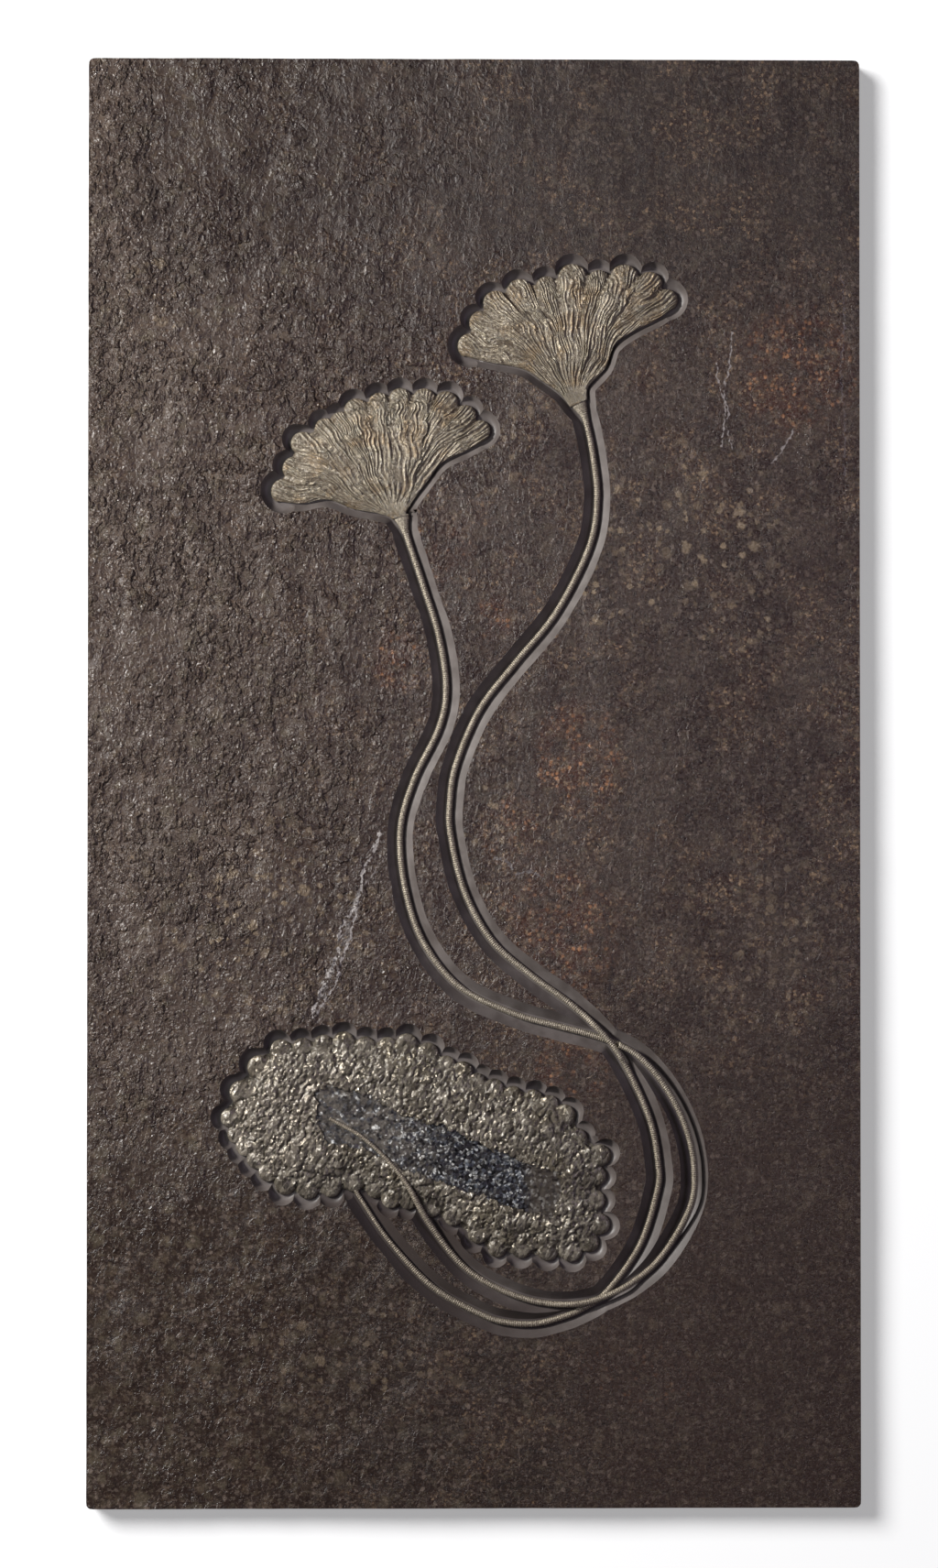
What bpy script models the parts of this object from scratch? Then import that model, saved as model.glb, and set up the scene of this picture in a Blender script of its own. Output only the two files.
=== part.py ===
"""Fossil crinoid plate: two sea lilies and the shell-grown driftwood they hung from, on a prepared stone slab.

Run with blender --background --python part.py. Metres, +Z up. The slab lies on its back with the fossils facing
up, and the origin is under the middle of its back. The preparator ground the stone away round each fossil, so
every fossil lies on the floor of a recess with a sloping wall.
"""

import math

import bmesh
import bpy
from mathutils import Vector, noise

MM = 0.001
GAP = 0.3  # clearance between two pieces that touch

# Places are survey coordinates: millimetres right and down from the corner of a sheet laid over the slab's
# face. PLATE_MIDDLE is the slab's middle on that sheet. Lobes are (right, down, radius).
PLATE_MIDDLE = (517.0, 855.5)
SLAB_CORNERS = ((97, 63), (938, 66), (940, 1646), (94, 1648))
SLAB_THICKNESS = 30.0
RELIEF = 1.1  # how far the split face rises and falls
RELIEF_LENGTH = 110.0
ROUGH_SIDE = 1.9  # the left side split more roughly: its relief grows by this factor
SLAB_CELLS = (10, 19)

RECESS_DEPTH = 9.0
FLOOR_MARGIN = 1.4  # recess floor showing round a fossil
WALL_RUN = 9.6  # how far the wall leans out over the recess depth
SCALLOP_SHIFT = 0.78  # a wall's scallops grow this much by moving outwards, which keeps their notches deep
ROUND_END_SIDES = 24
OVERCUT = 2.5  # how far a cutter stands above the face
INTO_CROWN = 9.5  # how far a stem's trench runs on under its crown
PAST_NECK = 2.5  # how far the trench along a crown's edge runs on past its neck
FLOOR = SLAB_THICKNESS - RECESS_DEPTH
SEAT = FLOOR + GAP  # underside of every fossil

STEM_WIDTH = 7.2
STEM_HEIGHT = 5.4
STEM_SIDES = 6
STEM_SPACING = 19.0
STEM_NECK = 0.86  # the stem's width at the crown, as a share of its full width
STEM_NECK_STATIONS = 4  # and it has its full width this many stations on
NEAR_CROSSING = 9.0  # the upper of two crossing stems is at full height this close to the lower one
CLEAR_OF_CROSSING = 21.0  # and down on the floor again this far from it

UPPER_STEM_ROUTE = (
    (632, 440), (640, 460), (648, 500), (652, 546), (643, 598), (607, 669), (562, 724.5), (524, 774),
    (498, 834), (491, 877), (492, 912), (507, 973), (537, 1027), (580, 1065), (620, 1094), (649.5, 1120),
    (673, 1147), (693, 1183), (711, 1227), (719, 1272), (718, 1300), (699, 1359.5), (663, 1410.5),
    (635, 1430), (610, 1440), (584, 1446), (556, 1445), (528, 1437), (474, 1407), (426, 1357), (393, 1308.5),
    (383, 1291),
)
LOWER_STEM_ROUTE = (
    (438, 564), (444, 585), (463, 642), (479, 694), (487, 751), (479, 795), (452, 851), (437, 906),
    (442, 969), (462, 1028.5), (502, 1078), (561, 1107), (605, 1119.5), (651, 1132), (693, 1150),
    (726, 1186), (749, 1232), (758, 1280), (751, 1324), (714, 1382), (661, 1415.5), (610, 1424.5),
    (559, 1414), (508, 1385), (469, 1336.5), (439, 1285.5), (400, 1245), (360, 1221),
)
CLIMB_START = 1372.0  # down the sheet from here the lower stem lies on the floor,
CLIMB_END = 1300.0  # and above here it lies on the shell crust
CLIMB_HEIGHT = 8.4
UPPER_STEM_ABOVE = (1050.0, 1250.0)  # the range down the sheet where it passes over the lower stem
LOWER_STEM_ABOVE = (1350.0, 1480.0)
SLOT_TOP = 20.0
UPPER_STATIONS_IN_CRUST = 5
LOWER_STATIONS_IN_CRUST = 12

# A crown fans out from its stem. Its lobes run from left to right round the top, and its two lower edges run
# from the outermost lobe to the stem.
UPPER_CROWN_LOBES = (
    (513, 377, 13.5), (525, 352, 13), (541, 331, 14), (567, 318, 14), (597, 313, 12), (625, 303, 15.5),
    (654, 306, 12), (682, 303, 15), (710, 309, 13), (728, 327, 12),
)
UPPER_CROWN_LEFT = ((507, 388), (530, 394), (570, 402), (590, 414), (612, 430))
UPPER_CROWN_RIGHT = ((735, 336), (718, 348), (690, 362), (669, 378), (660, 402), (642, 422))
LOWER_CROWN_LOBES = (
    (309, 536, 13.5), (321, 511, 13), (330, 484, 13), (355, 468, 12), (372, 461, 12), (389, 448, 13.5),
    (414, 440, 12), (437, 435, 12), (463, 436, 12.5), (487, 439, 12.5), (508, 453, 11.5), (524, 469, 11),
)
LOWER_CROWN_LEFT = ((303, 547), (330, 549), (357, 545), (385, 555), (412, 560), (425, 564))
LOWER_CROWN_RIGHT = ((531, 479), (510, 491), (482, 505), (466, 525), (450, 547), (443, 560))
CROWN_ROWS = 8
CROWN_LOBE_STEPS = 4
CROWN_THICKNESS = 10.5
CROWN_RIM = 5.0
CROWN_FLUTE = 1.6  # height of the ridge that runs down from each lobe
CROWN_NECK = 11.0  # the crown's width where it meets its stem
CROWN_NECK_SHARE = 0.25  # share of the crown's length over which it thickens from the stem
CROWN_SIDE_SHARE = 0.1  # share of its width, and
CROWN_TIP_SHARE = 0.2  # of its length, over which it thins to its rim

# The crust's lobes run clockwise from its left end.
CRUST_LOBES = (
    (252, 1221, 11.5), (263, 1193, 13), (283, 1166, 13.5), (306, 1147, 12), (330, 1144, 10.5),
    (353, 1141, 11), (375, 1138, 11.5), (399, 1143, 11), (423, 1143, 10.5), (444, 1140, 11.5),
    (467, 1150, 11.5), (487, 1163, 10), (505, 1170, 11), (521, 1182, 10), (539, 1189, 11), (560, 1196, 10),
    (583, 1200, 10), (600, 1206, 10), (616, 1218, 12), (630, 1243, 11), (655, 1262, 12), (651, 1284, 11),
    (650, 1311, 11), (654, 1337, 12), (643, 1357, 11), (623, 1366, 12.5), (598, 1366, 11.5),
    (569, 1363, 11.5), (543, 1363, 10.5), (522, 1347, 11.5), (495, 1328, 11), (470, 1318, 12),
    (446, 1312, 9.5), (427, 1309, 11), (410, 1298, 11), (386, 1290, 12), (361, 1297, 11), (336, 1298, 12),
    (311, 1294, 11.5), (293, 1280, 11), (280, 1266, 11), (268, 1252, 11), (259, 1239, 11),
)
CRUST_LOBE_STEPS = 3
NOTCH_RISE = 0.5  # a notch between lobes is no deeper than this share of the lobe's radius allows
CRUST_CELL = 13.0
CRUST_THICKNESS = 11.0
CRUST_LUMP = 2.6
CRUST_LUMP_LENGTH = 19.0
BLOCK_MARGIN = 20.0  # a lumpy block stands this much wider than the outline it is trimmed to

# The bare stretch of driftwood that shows through the crust.
WOOD_OUTLINE = (
    (345, 1192), (362, 1186), (410, 1200), (432, 1216), (490, 1232), (540, 1257), (580, 1272), (610, 1280),
    (613, 1302), (604, 1327), (575, 1323), (535, 1308), (480, 1290), (440, 1275), (400, 1255), (352, 1245),
)
WOOD_CELL = 16.0
WOOD_THICKNESS = 9.0
WOOD_LUMP = 1.2

FINISHES = {
    "matrix_slab": ((0.055, 0.042, 0.034), 0.62, 0.0),
    "upper_crown": ((0.42, 0.34, 0.22), 0.36, 0.35),
    "lower_crown": ((0.40, 0.33, 0.22), 0.36, 0.35),
    "upper_stem": ((0.44, 0.39, 0.29), 0.34, 0.35),
    "lower_stem": ((0.44, 0.39, 0.29), 0.34, 0.35),
    "shell_crust": ((0.38, 0.34, 0.25), 0.34, 0.35),
    "driftwood": ((0.025, 0.025, 0.030), 0.30, 0.10),
}


def at(place):
    """A survey place as millimetres from the slab's middle, +Y up the sheet."""
    return Vector((place[0] - PLATE_MIDDLE[0], PLATE_MIDDLE[1] - place[1]))


def blend(a, b, share):
    return a + (b - a) * share


def ease(share):
    share = min(max(share, 0.0), 1.0)
    return share * share * (3 - 2 * share)


def smooth_line(points, spacing):
    """Evenly spaced points on a Catmull-Rom curve through the given ones."""
    ends = [2 * points[0] - points[1], *points, 2 * points[-1] - points[-2]]
    fine = []
    for p0, p1, p2, p3 in zip(ends, ends[1:], ends[2:], ends[3:]):
        for step in range(12):
            t = step / 12
            fine.append(
                0.5 * (2 * p1 + (p2 - p0) * t + (2 * p0 - 5 * p1 + 4 * p2 - p3) * t**2
                       + (3 * p1 - p0 - 3 * p2 + p3) * t**3)
            )
    fine.append(points[-1])
    length = sum((b - a).length for a, b in zip(fine, fine[1:]))
    return spread(fine, max(2, round(length / spacing)))


def spread(line, steps):
    """steps + 1 points, evenly spaced along a polyline."""
    lengths = [(b - a).length for a, b in zip(line, line[1:])]
    pace = sum(lengths) / steps
    placed, walked, index = [line[0]], 0.0, 0
    for step in range(1, steps):
        while walked + lengths[index] < step * pace:
            walked += lengths[index]
            index += 1
        placed.append(blend(line[index], line[index + 1], (step * pace - walked) / lengths[index]))
    return [*placed, line[-1]]


def notch_between(first, second):
    """The notch between two neighbouring circles (centre, radius), on the left of the way from first to second."""
    (a, r), (b, s) = first, second
    apart = (b - a).length
    along = (b - a) / apart
    reach = (apart**2 + r**2 - s**2) / (2 * apart)
    rise = max(math.sqrt(max(r**2 - reach**2, 0.0)), NOTCH_RISE * min(r, s))
    return a + along * reach + Vector((-along.y, along.x)) * rise


def arc(circle, start, end, steps):
    """Points clockwise on a circle, from towards start to towards end, leaving out the end."""
    centre, radius = circle
    first = math.atan2(*(start - centre).yx)
    turn = (first - math.atan2(*(end - centre).yx)) % math.tau
    angles = [first - turn * step / steps for step in range(steps)]
    return [centre + radius * Vector((math.cos(angle), math.sin(angle))) for angle in angles]


def scallops(lobes, grow, steps, start=None, end=None, shift=0.0):
    """The clockwise scalloped line round a row of lobes grown by grow, of which shift is by moving them outwards.

    With no start and end it is a ring.
    """
    middles = [at(lobe) for lobe in lobes]
    if start is None:
        before, after = middles[-1:] + middles[:-1], middles[1:] + middles[:1]
    else:
        before, after = middles[:1] + middles[:-1], middles[1:] + middles[-1:]
    circles = []
    for middle, back, ahead, lobe in zip(middles, before, after, lobes):
        along = (ahead - back).normalized()
        circles.append((middle + Vector((-along.y, along.x)) * shift, lobe[2] + grow - shift))
    notches = [notch_between(a, b) for a, b in zip(circles, circles[1:])]
    if start is None:
        first = last = notch_between(circles[-1], circles[0])
    else:
        first, last = start, end
    line = []
    for circle, begin, finish in zip(circles, [first, *notches], [*notches, last]):
        line += arc(circle, begin, finish, steps)
    if start is None:
        return line
    centre, radius = circles[-1]
    return [*line, centre + (end - centre).normalized() * radius]


def grid(cells, place):
    """A bmesh grid of cells whose points place(u, v) puts, in millimetres, for u and v from 0 to 1."""
    bm = bmesh.new()
    bmesh.ops.create_grid(bm, x_segments=cells[0], y_segments=cells[1], size=0.5)
    for vert in bm.verts:
        vert.co = place(vert.co.x + 0.5, vert.co.y + 0.5)
    return bm


def close_below(bm, height):
    """Drops a skirt from an open sheet's edge to the height, and closes it with one flat face."""
    rim = [edge for edge in bm.edges if edge.is_boundary]
    dropped = bmesh.ops.extrude_edge_only(bm, edges=rim)["geom"]
    for vert in dropped:
        if isinstance(vert, bmesh.types.BMVert):
            vert.co.z = height
    base = [edge for edge in dropped if isinstance(edge, bmesh.types.BMEdge) and edge.is_boundary]
    bmesh.ops.contextual_create(bm, geom=base)


def finish(bm, name, cutter=False):
    """Makes the bmesh, in millimetres, an object with its own material, or a hidden cutter."""
    bmesh.ops.recalc_face_normals(bm, faces=bm.faces)
    bmesh.ops.scale(bm, vec=(MM, MM, MM), verts=bm.verts)
    mesh = bpy.data.meshes.new(name)
    bm.to_mesh(mesh)
    bm.free()
    obj = bpy.data.objects.new(name, mesh)
    bpy.context.scene.collection.objects.link(obj)
    if cutter:
        obj.hide_render = True
        obj.display_type = "WIRE"
        return obj
    colour, roughness, metallic = FINISHES[name]
    material = bpy.data.materials.new(name)
    material.use_nodes = True
    shader = material.node_tree.nodes["Principled BSDF"]
    shader.inputs["Base Color"].default_value = (*colour, 1.0)
    shader.inputs["Roughness"].default_value = roughness
    shader.inputs["Metallic"].default_value = metallic
    mesh.materials.append(material)
    return obj


def boolean(obj, cutter, operation="DIFFERENCE"):
    modifier = obj.modifiers.new(f"{operation.lower()} {cutter.name}", "BOOLEAN")
    modifier.object = cutter
    modifier.operation = operation


def prism(name, rings):
    """A closed cutter through rings of (line, height), all with the same number of points."""
    bm = bmesh.new()
    loops = []
    for line, height in rings:
        verts = [bm.verts.new((point.x, point.y, height)) for point in line]
        loops.append([bm.edges.new(pair) for pair in zip(verts, verts[1:] + verts[:1])])
    for lower, upper in zip(loops, loops[1:]):
        bmesh.ops.bridge_loops(bm, edges=lower + upper)
    bmesh.ops.contextual_create(bm, geom=loops[0])
    bmesh.ops.contextual_create(bm, geom=loops[-1])
    return finish(bm, name, cutter=True)


def swept(name, stations, section, cutter=False):
    """A closed solid: the section's points (across, up), carried along stations of (place, height, scale)."""
    places = [place for place, _, _ in stations]
    headings = [
        (after - before).normalized()
        for before, after in zip([places[0], *places[:-1]], [*places[1:], places[-1]])
    ]

    def place(u, v):
        index = round(v * (len(stations) - 1))
        across, up = section[round(u * len(section)) % len(section)]
        middle, height, scale = stations[index]
        side = Vector((headings[index].y, -headings[index].x)) * across * scale
        return (middle.x + side.x, middle.y + side.y, height + up)

    bm = grid((len(section), len(stations) - 1), place)
    bmesh.ops.remove_doubles(bm, verts=bm.verts, dist=1e-4)
    bmesh.ops.holes_fill(bm, edges=[edge for edge in bm.edges if edge.is_boundary], sides=0)
    return finish(bm, name, cutter)


def wall_rings(outline_at):
    """The recess rings of an outline, which outline_at(grow, shift) gives: the floor, and above the face."""
    top = RECESS_DEPTH + OVERCUT
    out = top * WALL_RUN / RECESS_DEPTH
    return (
        (outline_at(FLOOR_MARGIN, 0.0), FLOOR),
        (outline_at(FLOOR_MARGIN + out, out * SCALLOP_SHIFT), FLOOR + top),
    )


def round_end(lobe):
    """The ring lines of the round end of a recess, at a crown's outermost lobe."""
    turns = [math.tau * side / ROUND_END_SIDES for side in range(ROUND_END_SIDES)]

    def ring_at(grow, _shift):
        return [at(lobe) + (lobe[2] + grow) * Vector((math.cos(turn), math.sin(turn))) for turn in turns]

    return ring_at


def trench(name, line, half_width):
    """A cutter with a flat floor and sloping walls along a line."""
    floor = half_width + FLOOR_MARGIN
    top = RECESS_DEPTH + OVERCUT
    lip = floor + top * WALL_RUN / RECESS_DEPTH
    section = ((-floor, 0.0), (floor, 0.0), (lip, top), (-lip, top))
    return swept(name, [(place, FLOOR, 1.0) for place in line], section, cutter=True)


def stem_route(route):
    return smooth_line([at(place) for place in route], STEM_SPACING)


def past_start(line, length):
    """A line carried straight on past its start."""
    return [line[0] + (line[0] - line[1]).normalized() * length, *line]


def distance_to(place, line):
    return min((place - other).length for other in line)


def stem_stations(line, other, above, climbs):
    """(place, height, scale) along a stem. above says where it passes over the other stem, down the sheet."""
    fine_other = smooth_line(other, 2.0)
    stations = []
    for index, place in enumerate(line):
        down_sheet = PLATE_MIDDLE[1] - place.y
        lift = 0.0
        if above[0] < down_sheet < above[1]:
            apart = distance_to(place, fine_other)
            near = 1 - ease((apart - NEAR_CROSSING) / (CLEAR_OF_CROSSING - NEAR_CROSSING))
            lift = near * (STEM_HEIGHT + GAP)
        if climbs and 2 * index > len(line):
            lift = max(lift, CLIMB_HEIGHT * ease((CLIMB_START - down_sheet) / (CLIMB_START - CLIMB_END)))
        scale = blend(STEM_NECK, 1.0, min(index / STEM_NECK_STATIONS, 1.0))
        stations.append((place, SEAT + STEM_HEIGHT / 2 + lift, scale))
    return stations


def stem_section():
    angles = [math.tau * (side + 0.5) / STEM_SIDES for side in range(STEM_SIDES)]
    return [(STEM_WIDTH / 2 * math.cos(angle), STEM_HEIGHT / 2 * math.sin(angle)) for angle in angles]


def slot(name, stations):
    """A cutter open at the top that leaves the stem's last stretch clear by the gap."""
    half, depth = STEM_WIDTH / 2 + GAP, STEM_HEIGHT / 2 + GAP
    section = ((-half, -depth), (half, -depth), (half, SLOT_TOP), (-half, SLOT_TOP))
    end, height, scale = stations[-1]
    past_end = end + (end - stations[-2][0]).normalized() * GAP
    return swept(name, [*stations, (past_end, height, scale)], section, cutter=True)


def relief(x, y):
    """Height of the split face above its mean, rougher towards the left."""
    left = ease((200.0 - x) / 500.0)
    rough = RELIEF * blend(1.0, ROUGH_SIDE, left)
    return rough * noise.noise(Vector((x / RELIEF_LENGTH, 0.6 * y / RELIEF_LENGTH, 3.0)))


def make_slab():
    corners = [at(corner) for corner in SLAB_CORNERS]

    def place(u, v):
        top = blend(corners[0], corners[1], u)
        bottom = blend(corners[3], corners[2], u)
        spot = blend(bottom, top, v)
        return (spot.x, spot.y, SLAB_THICKNESS + relief(spot.x, spot.y))

    bm = grid(SLAB_CELLS, place)
    close_below(bm, 0.0)
    return finish(bm, "matrix_slab")


def crown_edges(stem, left, right):
    """The two lower edges of a crown, each from its side of the neck out to its outermost lobe."""
    heading = (stem[1] - stem[0]).normalized()
    neck = stem[0] - heading * GAP
    side = Vector((heading.y, -heading.x)) * CROWN_NECK / 2
    edges = []
    for edge, root in ((left, neck + side), (right, neck - side)):
        line = smooth_line([root, *[at(place) for place in reversed(edge)]], 2.0)
        edges.append(spread(line, CROWN_ROWS))
    return edges


def sample(line, share):
    """The point at this share of a polyline's points."""
    spot = share * (len(line) - 1)
    index = min(int(spot), len(line) - 2)
    return blend(line[index], line[index + 1], spot - index)


def make_crown(name, lobes, left, right):
    """A fan of arms: a patch between the neck, the lobes and the two lower edges, with a ridge to each lobe."""
    tips = scallops(lobes, 0.0, CROWN_LOBE_STEPS, left[-1], right[-1])
    left, right = [*left[:-1], tips[0]], [*right[:-1], tips[-1]]
    columns = len(tips) - 1

    def place(u, v):
        tip, root = sample(tips, u), blend(left[0], right[0], u)
        sides = blend(sample(left, v), sample(right, v), u)
        corners = blend(root, blend(tips[0], tips[-1], u), v)
        spot = sides + blend(root, tip, v) - corners
        inner = ease(min(u, 1 - u) / CROWN_SIDE_SHARE) * ease((1 - v) / CROWN_TIP_SHARE)
        body = max(inner, 1 - ease(v / CROWN_NECK_SHARE) / 2)
        flute = math.cos(math.tau * (u * columns / CROWN_LOBE_STEPS - 0.5)) * v
        crest = blend(CROWN_RIM, CROWN_THICKNESS, body) + CROWN_FLUTE * flute * inner
        return (spot.x, spot.y, SEAT + blend(STEM_HEIGHT, crest, ease(v / CROWN_NECK_SHARE)))

    bm = grid((columns, CROWN_ROWS), place)
    close_below(bm, SEAT)
    return finish(bm, name)


def crown_cutters(name, lobes, left, right):
    """The recess of a crown: a prism of its outline, a trench along each lower edge, and their round ends."""

    def outline_at(grow, shift):
        tips = scallops(lobes, grow, CROWN_LOBE_STEPS, left[-1], right[-1], shift)
        return [*tips, *right[:-1][::-1], *left[:-1]]

    return [
        prism(f"{name} recess", wall_rings(outline_at)),
        trench(f"{name} left trench", past_start(left, PAST_NECK), 0.0),
        trench(f"{name} right trench", past_start(right, PAST_NECK), 0.0),
        prism(f"{name} left end", wall_rings(round_end(lobes[0]))),
        prism(f"{name} right end", wall_rings(round_end(lobes[-1]))),
    ]


def lumpy_block(name, lobes_or_outline, cell, height_at):
    """A flat-bottomed block over an outline's box, whose top height_at(x, y) gives."""
    places = [at(place) for place in lobes_or_outline]
    low = Vector((min(p.x for p in places) - BLOCK_MARGIN, min(p.y for p in places) - BLOCK_MARGIN))
    high = Vector((max(p.x for p in places) + BLOCK_MARGIN, max(p.y for p in places) + BLOCK_MARGIN))
    cells = (round((high.x - low.x) / cell), round((high.y - low.y) / cell))

    def place(u, v):
        x, y = blend(low.x, high.x, u), blend(low.y, high.y, v)
        return (x, y, height_at(x, y))

    bm = grid(cells, place)
    close_below(bm, SEAT)
    return finish(bm, name)


def crust_height(x, y):
    lump = noise.noise(Vector((x / CRUST_LUMP_LENGTH, y / CRUST_LUMP_LENGTH, 0.0)))
    return SEAT + CRUST_THICKNESS + CRUST_LUMP * lump


def wood_height(x, y):
    lump = noise.noise(Vector((x / CRUST_LUMP_LENGTH, y / CRUST_LUMP_LENGTH, 7.0)))
    return SEAT + WOOD_THICKNESS + WOOD_LUMP * lump


def upright(name, line_at, grow):
    """A cutter with upright sides, from under the fossils to well above them."""
    return prism(name, ((line_at(grow), 0.0), (line_at(grow), SEAT + 3 * CRUST_THICKNESS)))


def wood_line(grow):
    """The wood's outline, grown outwards by grow."""
    places = [at(place) for place in WOOD_OUTLINE]
    grown = []
    for before, place, after in zip(places[-1:] + places[:-1], places, places[1:] + places[:1]):
        along = (after - before).normalized()
        grown.append(place + Vector((-along.y, along.x)) * grow)
    return grown


def crust_line(grow, shift=0.0):
    return scallops(CRUST_LOBES, grow, CRUST_LOBE_STEPS, shift=shift)


def main():
    for obj in list(bpy.data.objects):
        bpy.data.objects.remove(obj)

    upper_line, lower_line = stem_route(UPPER_STEM_ROUTE), stem_route(LOWER_STEM_ROUTE)
    upper_stations = stem_stations(upper_line, lower_line, UPPER_STEM_ABOVE, climbs=False)
    lower_stations = stem_stations(lower_line, upper_line, LOWER_STEM_ABOVE, climbs=True)
    swept("upper_stem", upper_stations, stem_section())
    swept("lower_stem", lower_stations, stem_section())

    crowns = (
        ("upper_crown", upper_line, UPPER_CROWN_LOBES, UPPER_CROWN_LEFT, UPPER_CROWN_RIGHT),
        ("lower_crown", lower_line, LOWER_CROWN_LOBES, LOWER_CROWN_LEFT, LOWER_CROWN_RIGHT),
    )
    recess = [
        trench("upper stem trench", past_start(upper_line, INTO_CROWN), STEM_WIDTH / 2),
        trench("lower stem trench", past_start(lower_line, INTO_CROWN), STEM_WIDTH / 2),
        prism("crust recess", wall_rings(crust_line)),
    ]
    for name, stem, lobes, *edges in crowns:
        left, right = crown_edges(stem, *edges)
        make_crown(name, lobes, left, right)
        recess += crown_cutters(name, lobes, left, right)
    slab = make_slab()
    for cutter in recess:
        boolean(slab, cutter)

    upper_slot = slot("upper stem slot", upper_stations[-UPPER_STATIONS_IN_CRUST:])
    lower_slot = slot("lower stem slot", lower_stations[-LOWER_STATIONS_IN_CRUST:])
    crust = lumpy_block("shell_crust", CRUST_LOBES, CRUST_CELL, crust_height)
    boolean(crust, upright("crust outline", crust_line, 0.0), "INTERSECT")
    boolean(crust, upright("wood room", wood_line, GAP))
    wood = lumpy_block("driftwood", WOOD_OUTLINE, WOOD_CELL, wood_height)
    boolean(wood, upright("wood outline", wood_line, 0.0), "INTERSECT")
    boolean(crust, upper_slot)
    boolean(crust, lower_slot)
    boolean(wood, lower_slot)


main()
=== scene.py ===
"""The looks of a fossil crinoid plate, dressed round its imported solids.

Two sea lilies and the shell-grown driftwood they hung from lie in recesses ground into a slab of oil
shale. Every mesh is shaped in millimetres, in the frame of the solids, and becomes metres when it is
finished. Places are survey coordinates: millimetres right and down from the corner of a sheet laid over
the slab's face. Every piece has a name, and the node of the solid it replaces.
"""

from __future__ import annotations

import logging
import math
import random
from dataclasses import dataclass
from enum import Enum, IntEnum
from typing import Any, Callable, ClassVar, Iterable, Sequence

import bmesh
import bpy
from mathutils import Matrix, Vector, noise
from mathutils.kdtree import KDTree


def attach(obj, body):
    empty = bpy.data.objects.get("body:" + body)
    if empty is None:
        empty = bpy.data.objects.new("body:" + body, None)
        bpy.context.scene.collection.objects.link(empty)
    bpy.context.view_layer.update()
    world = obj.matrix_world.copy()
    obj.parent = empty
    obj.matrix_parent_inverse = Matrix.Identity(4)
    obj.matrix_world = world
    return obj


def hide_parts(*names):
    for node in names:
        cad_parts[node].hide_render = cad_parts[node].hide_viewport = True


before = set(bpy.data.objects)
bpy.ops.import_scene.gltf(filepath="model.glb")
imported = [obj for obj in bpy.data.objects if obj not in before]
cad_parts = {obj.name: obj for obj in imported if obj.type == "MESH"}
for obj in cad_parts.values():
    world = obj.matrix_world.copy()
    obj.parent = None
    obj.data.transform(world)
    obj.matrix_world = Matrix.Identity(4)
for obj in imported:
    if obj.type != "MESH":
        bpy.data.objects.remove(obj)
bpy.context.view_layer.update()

Place = tuple[float, float]
Lobe = tuple[float, float, float]
Line = list[Vector]
Colour = tuple[float, float, float]
Point = tuple[float, float, float]
Solid = bmesh.types.BMesh
Object = bpy.types.Object
Material = bpy.types.Material
Node = bpy.types.Node
Socket = bpy.types.NodeSocket

MM = 0.001
BODY = "root"
LOG = logging.getLogger("crinoid plate")

PLATE_MIDDLE: Place = (517.0, 855.5)
FACE_HEIGHT = 30.0
FLOOR_HEIGHT = 21.0
SEAT_HEIGHT = 21.3  # underside of every fossil
STEM_WIDTH = 7.2
STEM_HEIGHT = 5.4
NECK_SHARE = 0.86  # a stem's width at its crown, as a share of its full width
SEAM = 1e-4  # vertices nearer than this are one
CURVE_STEPS = 12  # steps between two points of a smooth line, before it is evened out
NOISE_SEED = 1  # of noise.noise_vector, which is otherwise new in every run
BELOW_SEAT, ABOVE_SEAT = 2.0, 20.0  # how far a trimming outline reaches below and above the seat


class Slot(Enum):
    """The record's material slots."""

    STONE = "matrix_stone"
    CROWN = "crown_calcite"
    STEM = "stem_calcite"
    SHELL = "shell"
    WOOD = "fossil_wood"


class Stone(IntEnum):
    """The slab's finishes, in the order of its materials."""

    SPLIT = 0
    GROUND = 1
    SAWN = 2


# ---------------- lines and sheets


def at(place: Sequence[float]) -> Vector:
    """Turns a survey place into millimetres from the slab's middle.

    Args:
        place: Right and down on the survey sheet; further numbers are ignored.

    Returns:
        The place with +Y up the sheet.
    """
    return Vector((place[0] - PLATE_MIDDLE[0], PLATE_MIDDLE[1] - place[1]))


def blend(a: Any, b: Any, share: float) -> Any:
    """Goes from a to b by the share, for numbers and vectors."""
    return a + (b - a) * share


def ease(share: float) -> float:
    """A soft step from 0 to 1 over shares 0 to 1."""
    share = min(max(share, 0.0), 1.0)
    return share * share * (3 - 2 * share)


def smooth_line(points: Line, spacing: float) -> Line:
    """Draws a Catmull-Rom curve through points.

    Args:
        points: The points the curve passes through.
        spacing: About how far apart the returned points are.

    Returns:
        Evenly spaced points on the curve.
    """
    ends = [2 * points[0] - points[1], *points, 2 * points[-1] - points[-2]]
    fine: Line = []
    for p0, p1, p2, p3 in zip(ends, ends[1:], ends[2:], ends[3:]):
        for step in range(CURVE_STEPS):
            t = step / CURVE_STEPS
            fine.append(
                0.5 * (2 * p1 + (p2 - p0) * t + (2 * p0 - 5 * p1 + 4 * p2 - p3) * t**2
                       + (3 * p1 - p0 - 3 * p2 + p3) * t**3)
            )
    fine.append(points[-1])
    length = sum((b - a).length for a, b in zip(fine, fine[1:]))
    return spread(fine, max(2, round(length / spacing)))


def spread(line: Line, steps: int) -> Line:
    """Places steps + 1 points evenly along a polyline."""
    lengths = [(b - a).length for a, b in zip(line, line[1:])]
    pace = sum(lengths) / steps
    placed, walked, index = [line[0]], 0.0, 0
    for step in range(1, steps):
        while walked + lengths[index] < step * pace:
            walked += lengths[index]
            index += 1
        placed.append(blend(line[index], line[index + 1], (step * pace - walked) / lengths[index]))
    return [*placed, line[-1]]


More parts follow.
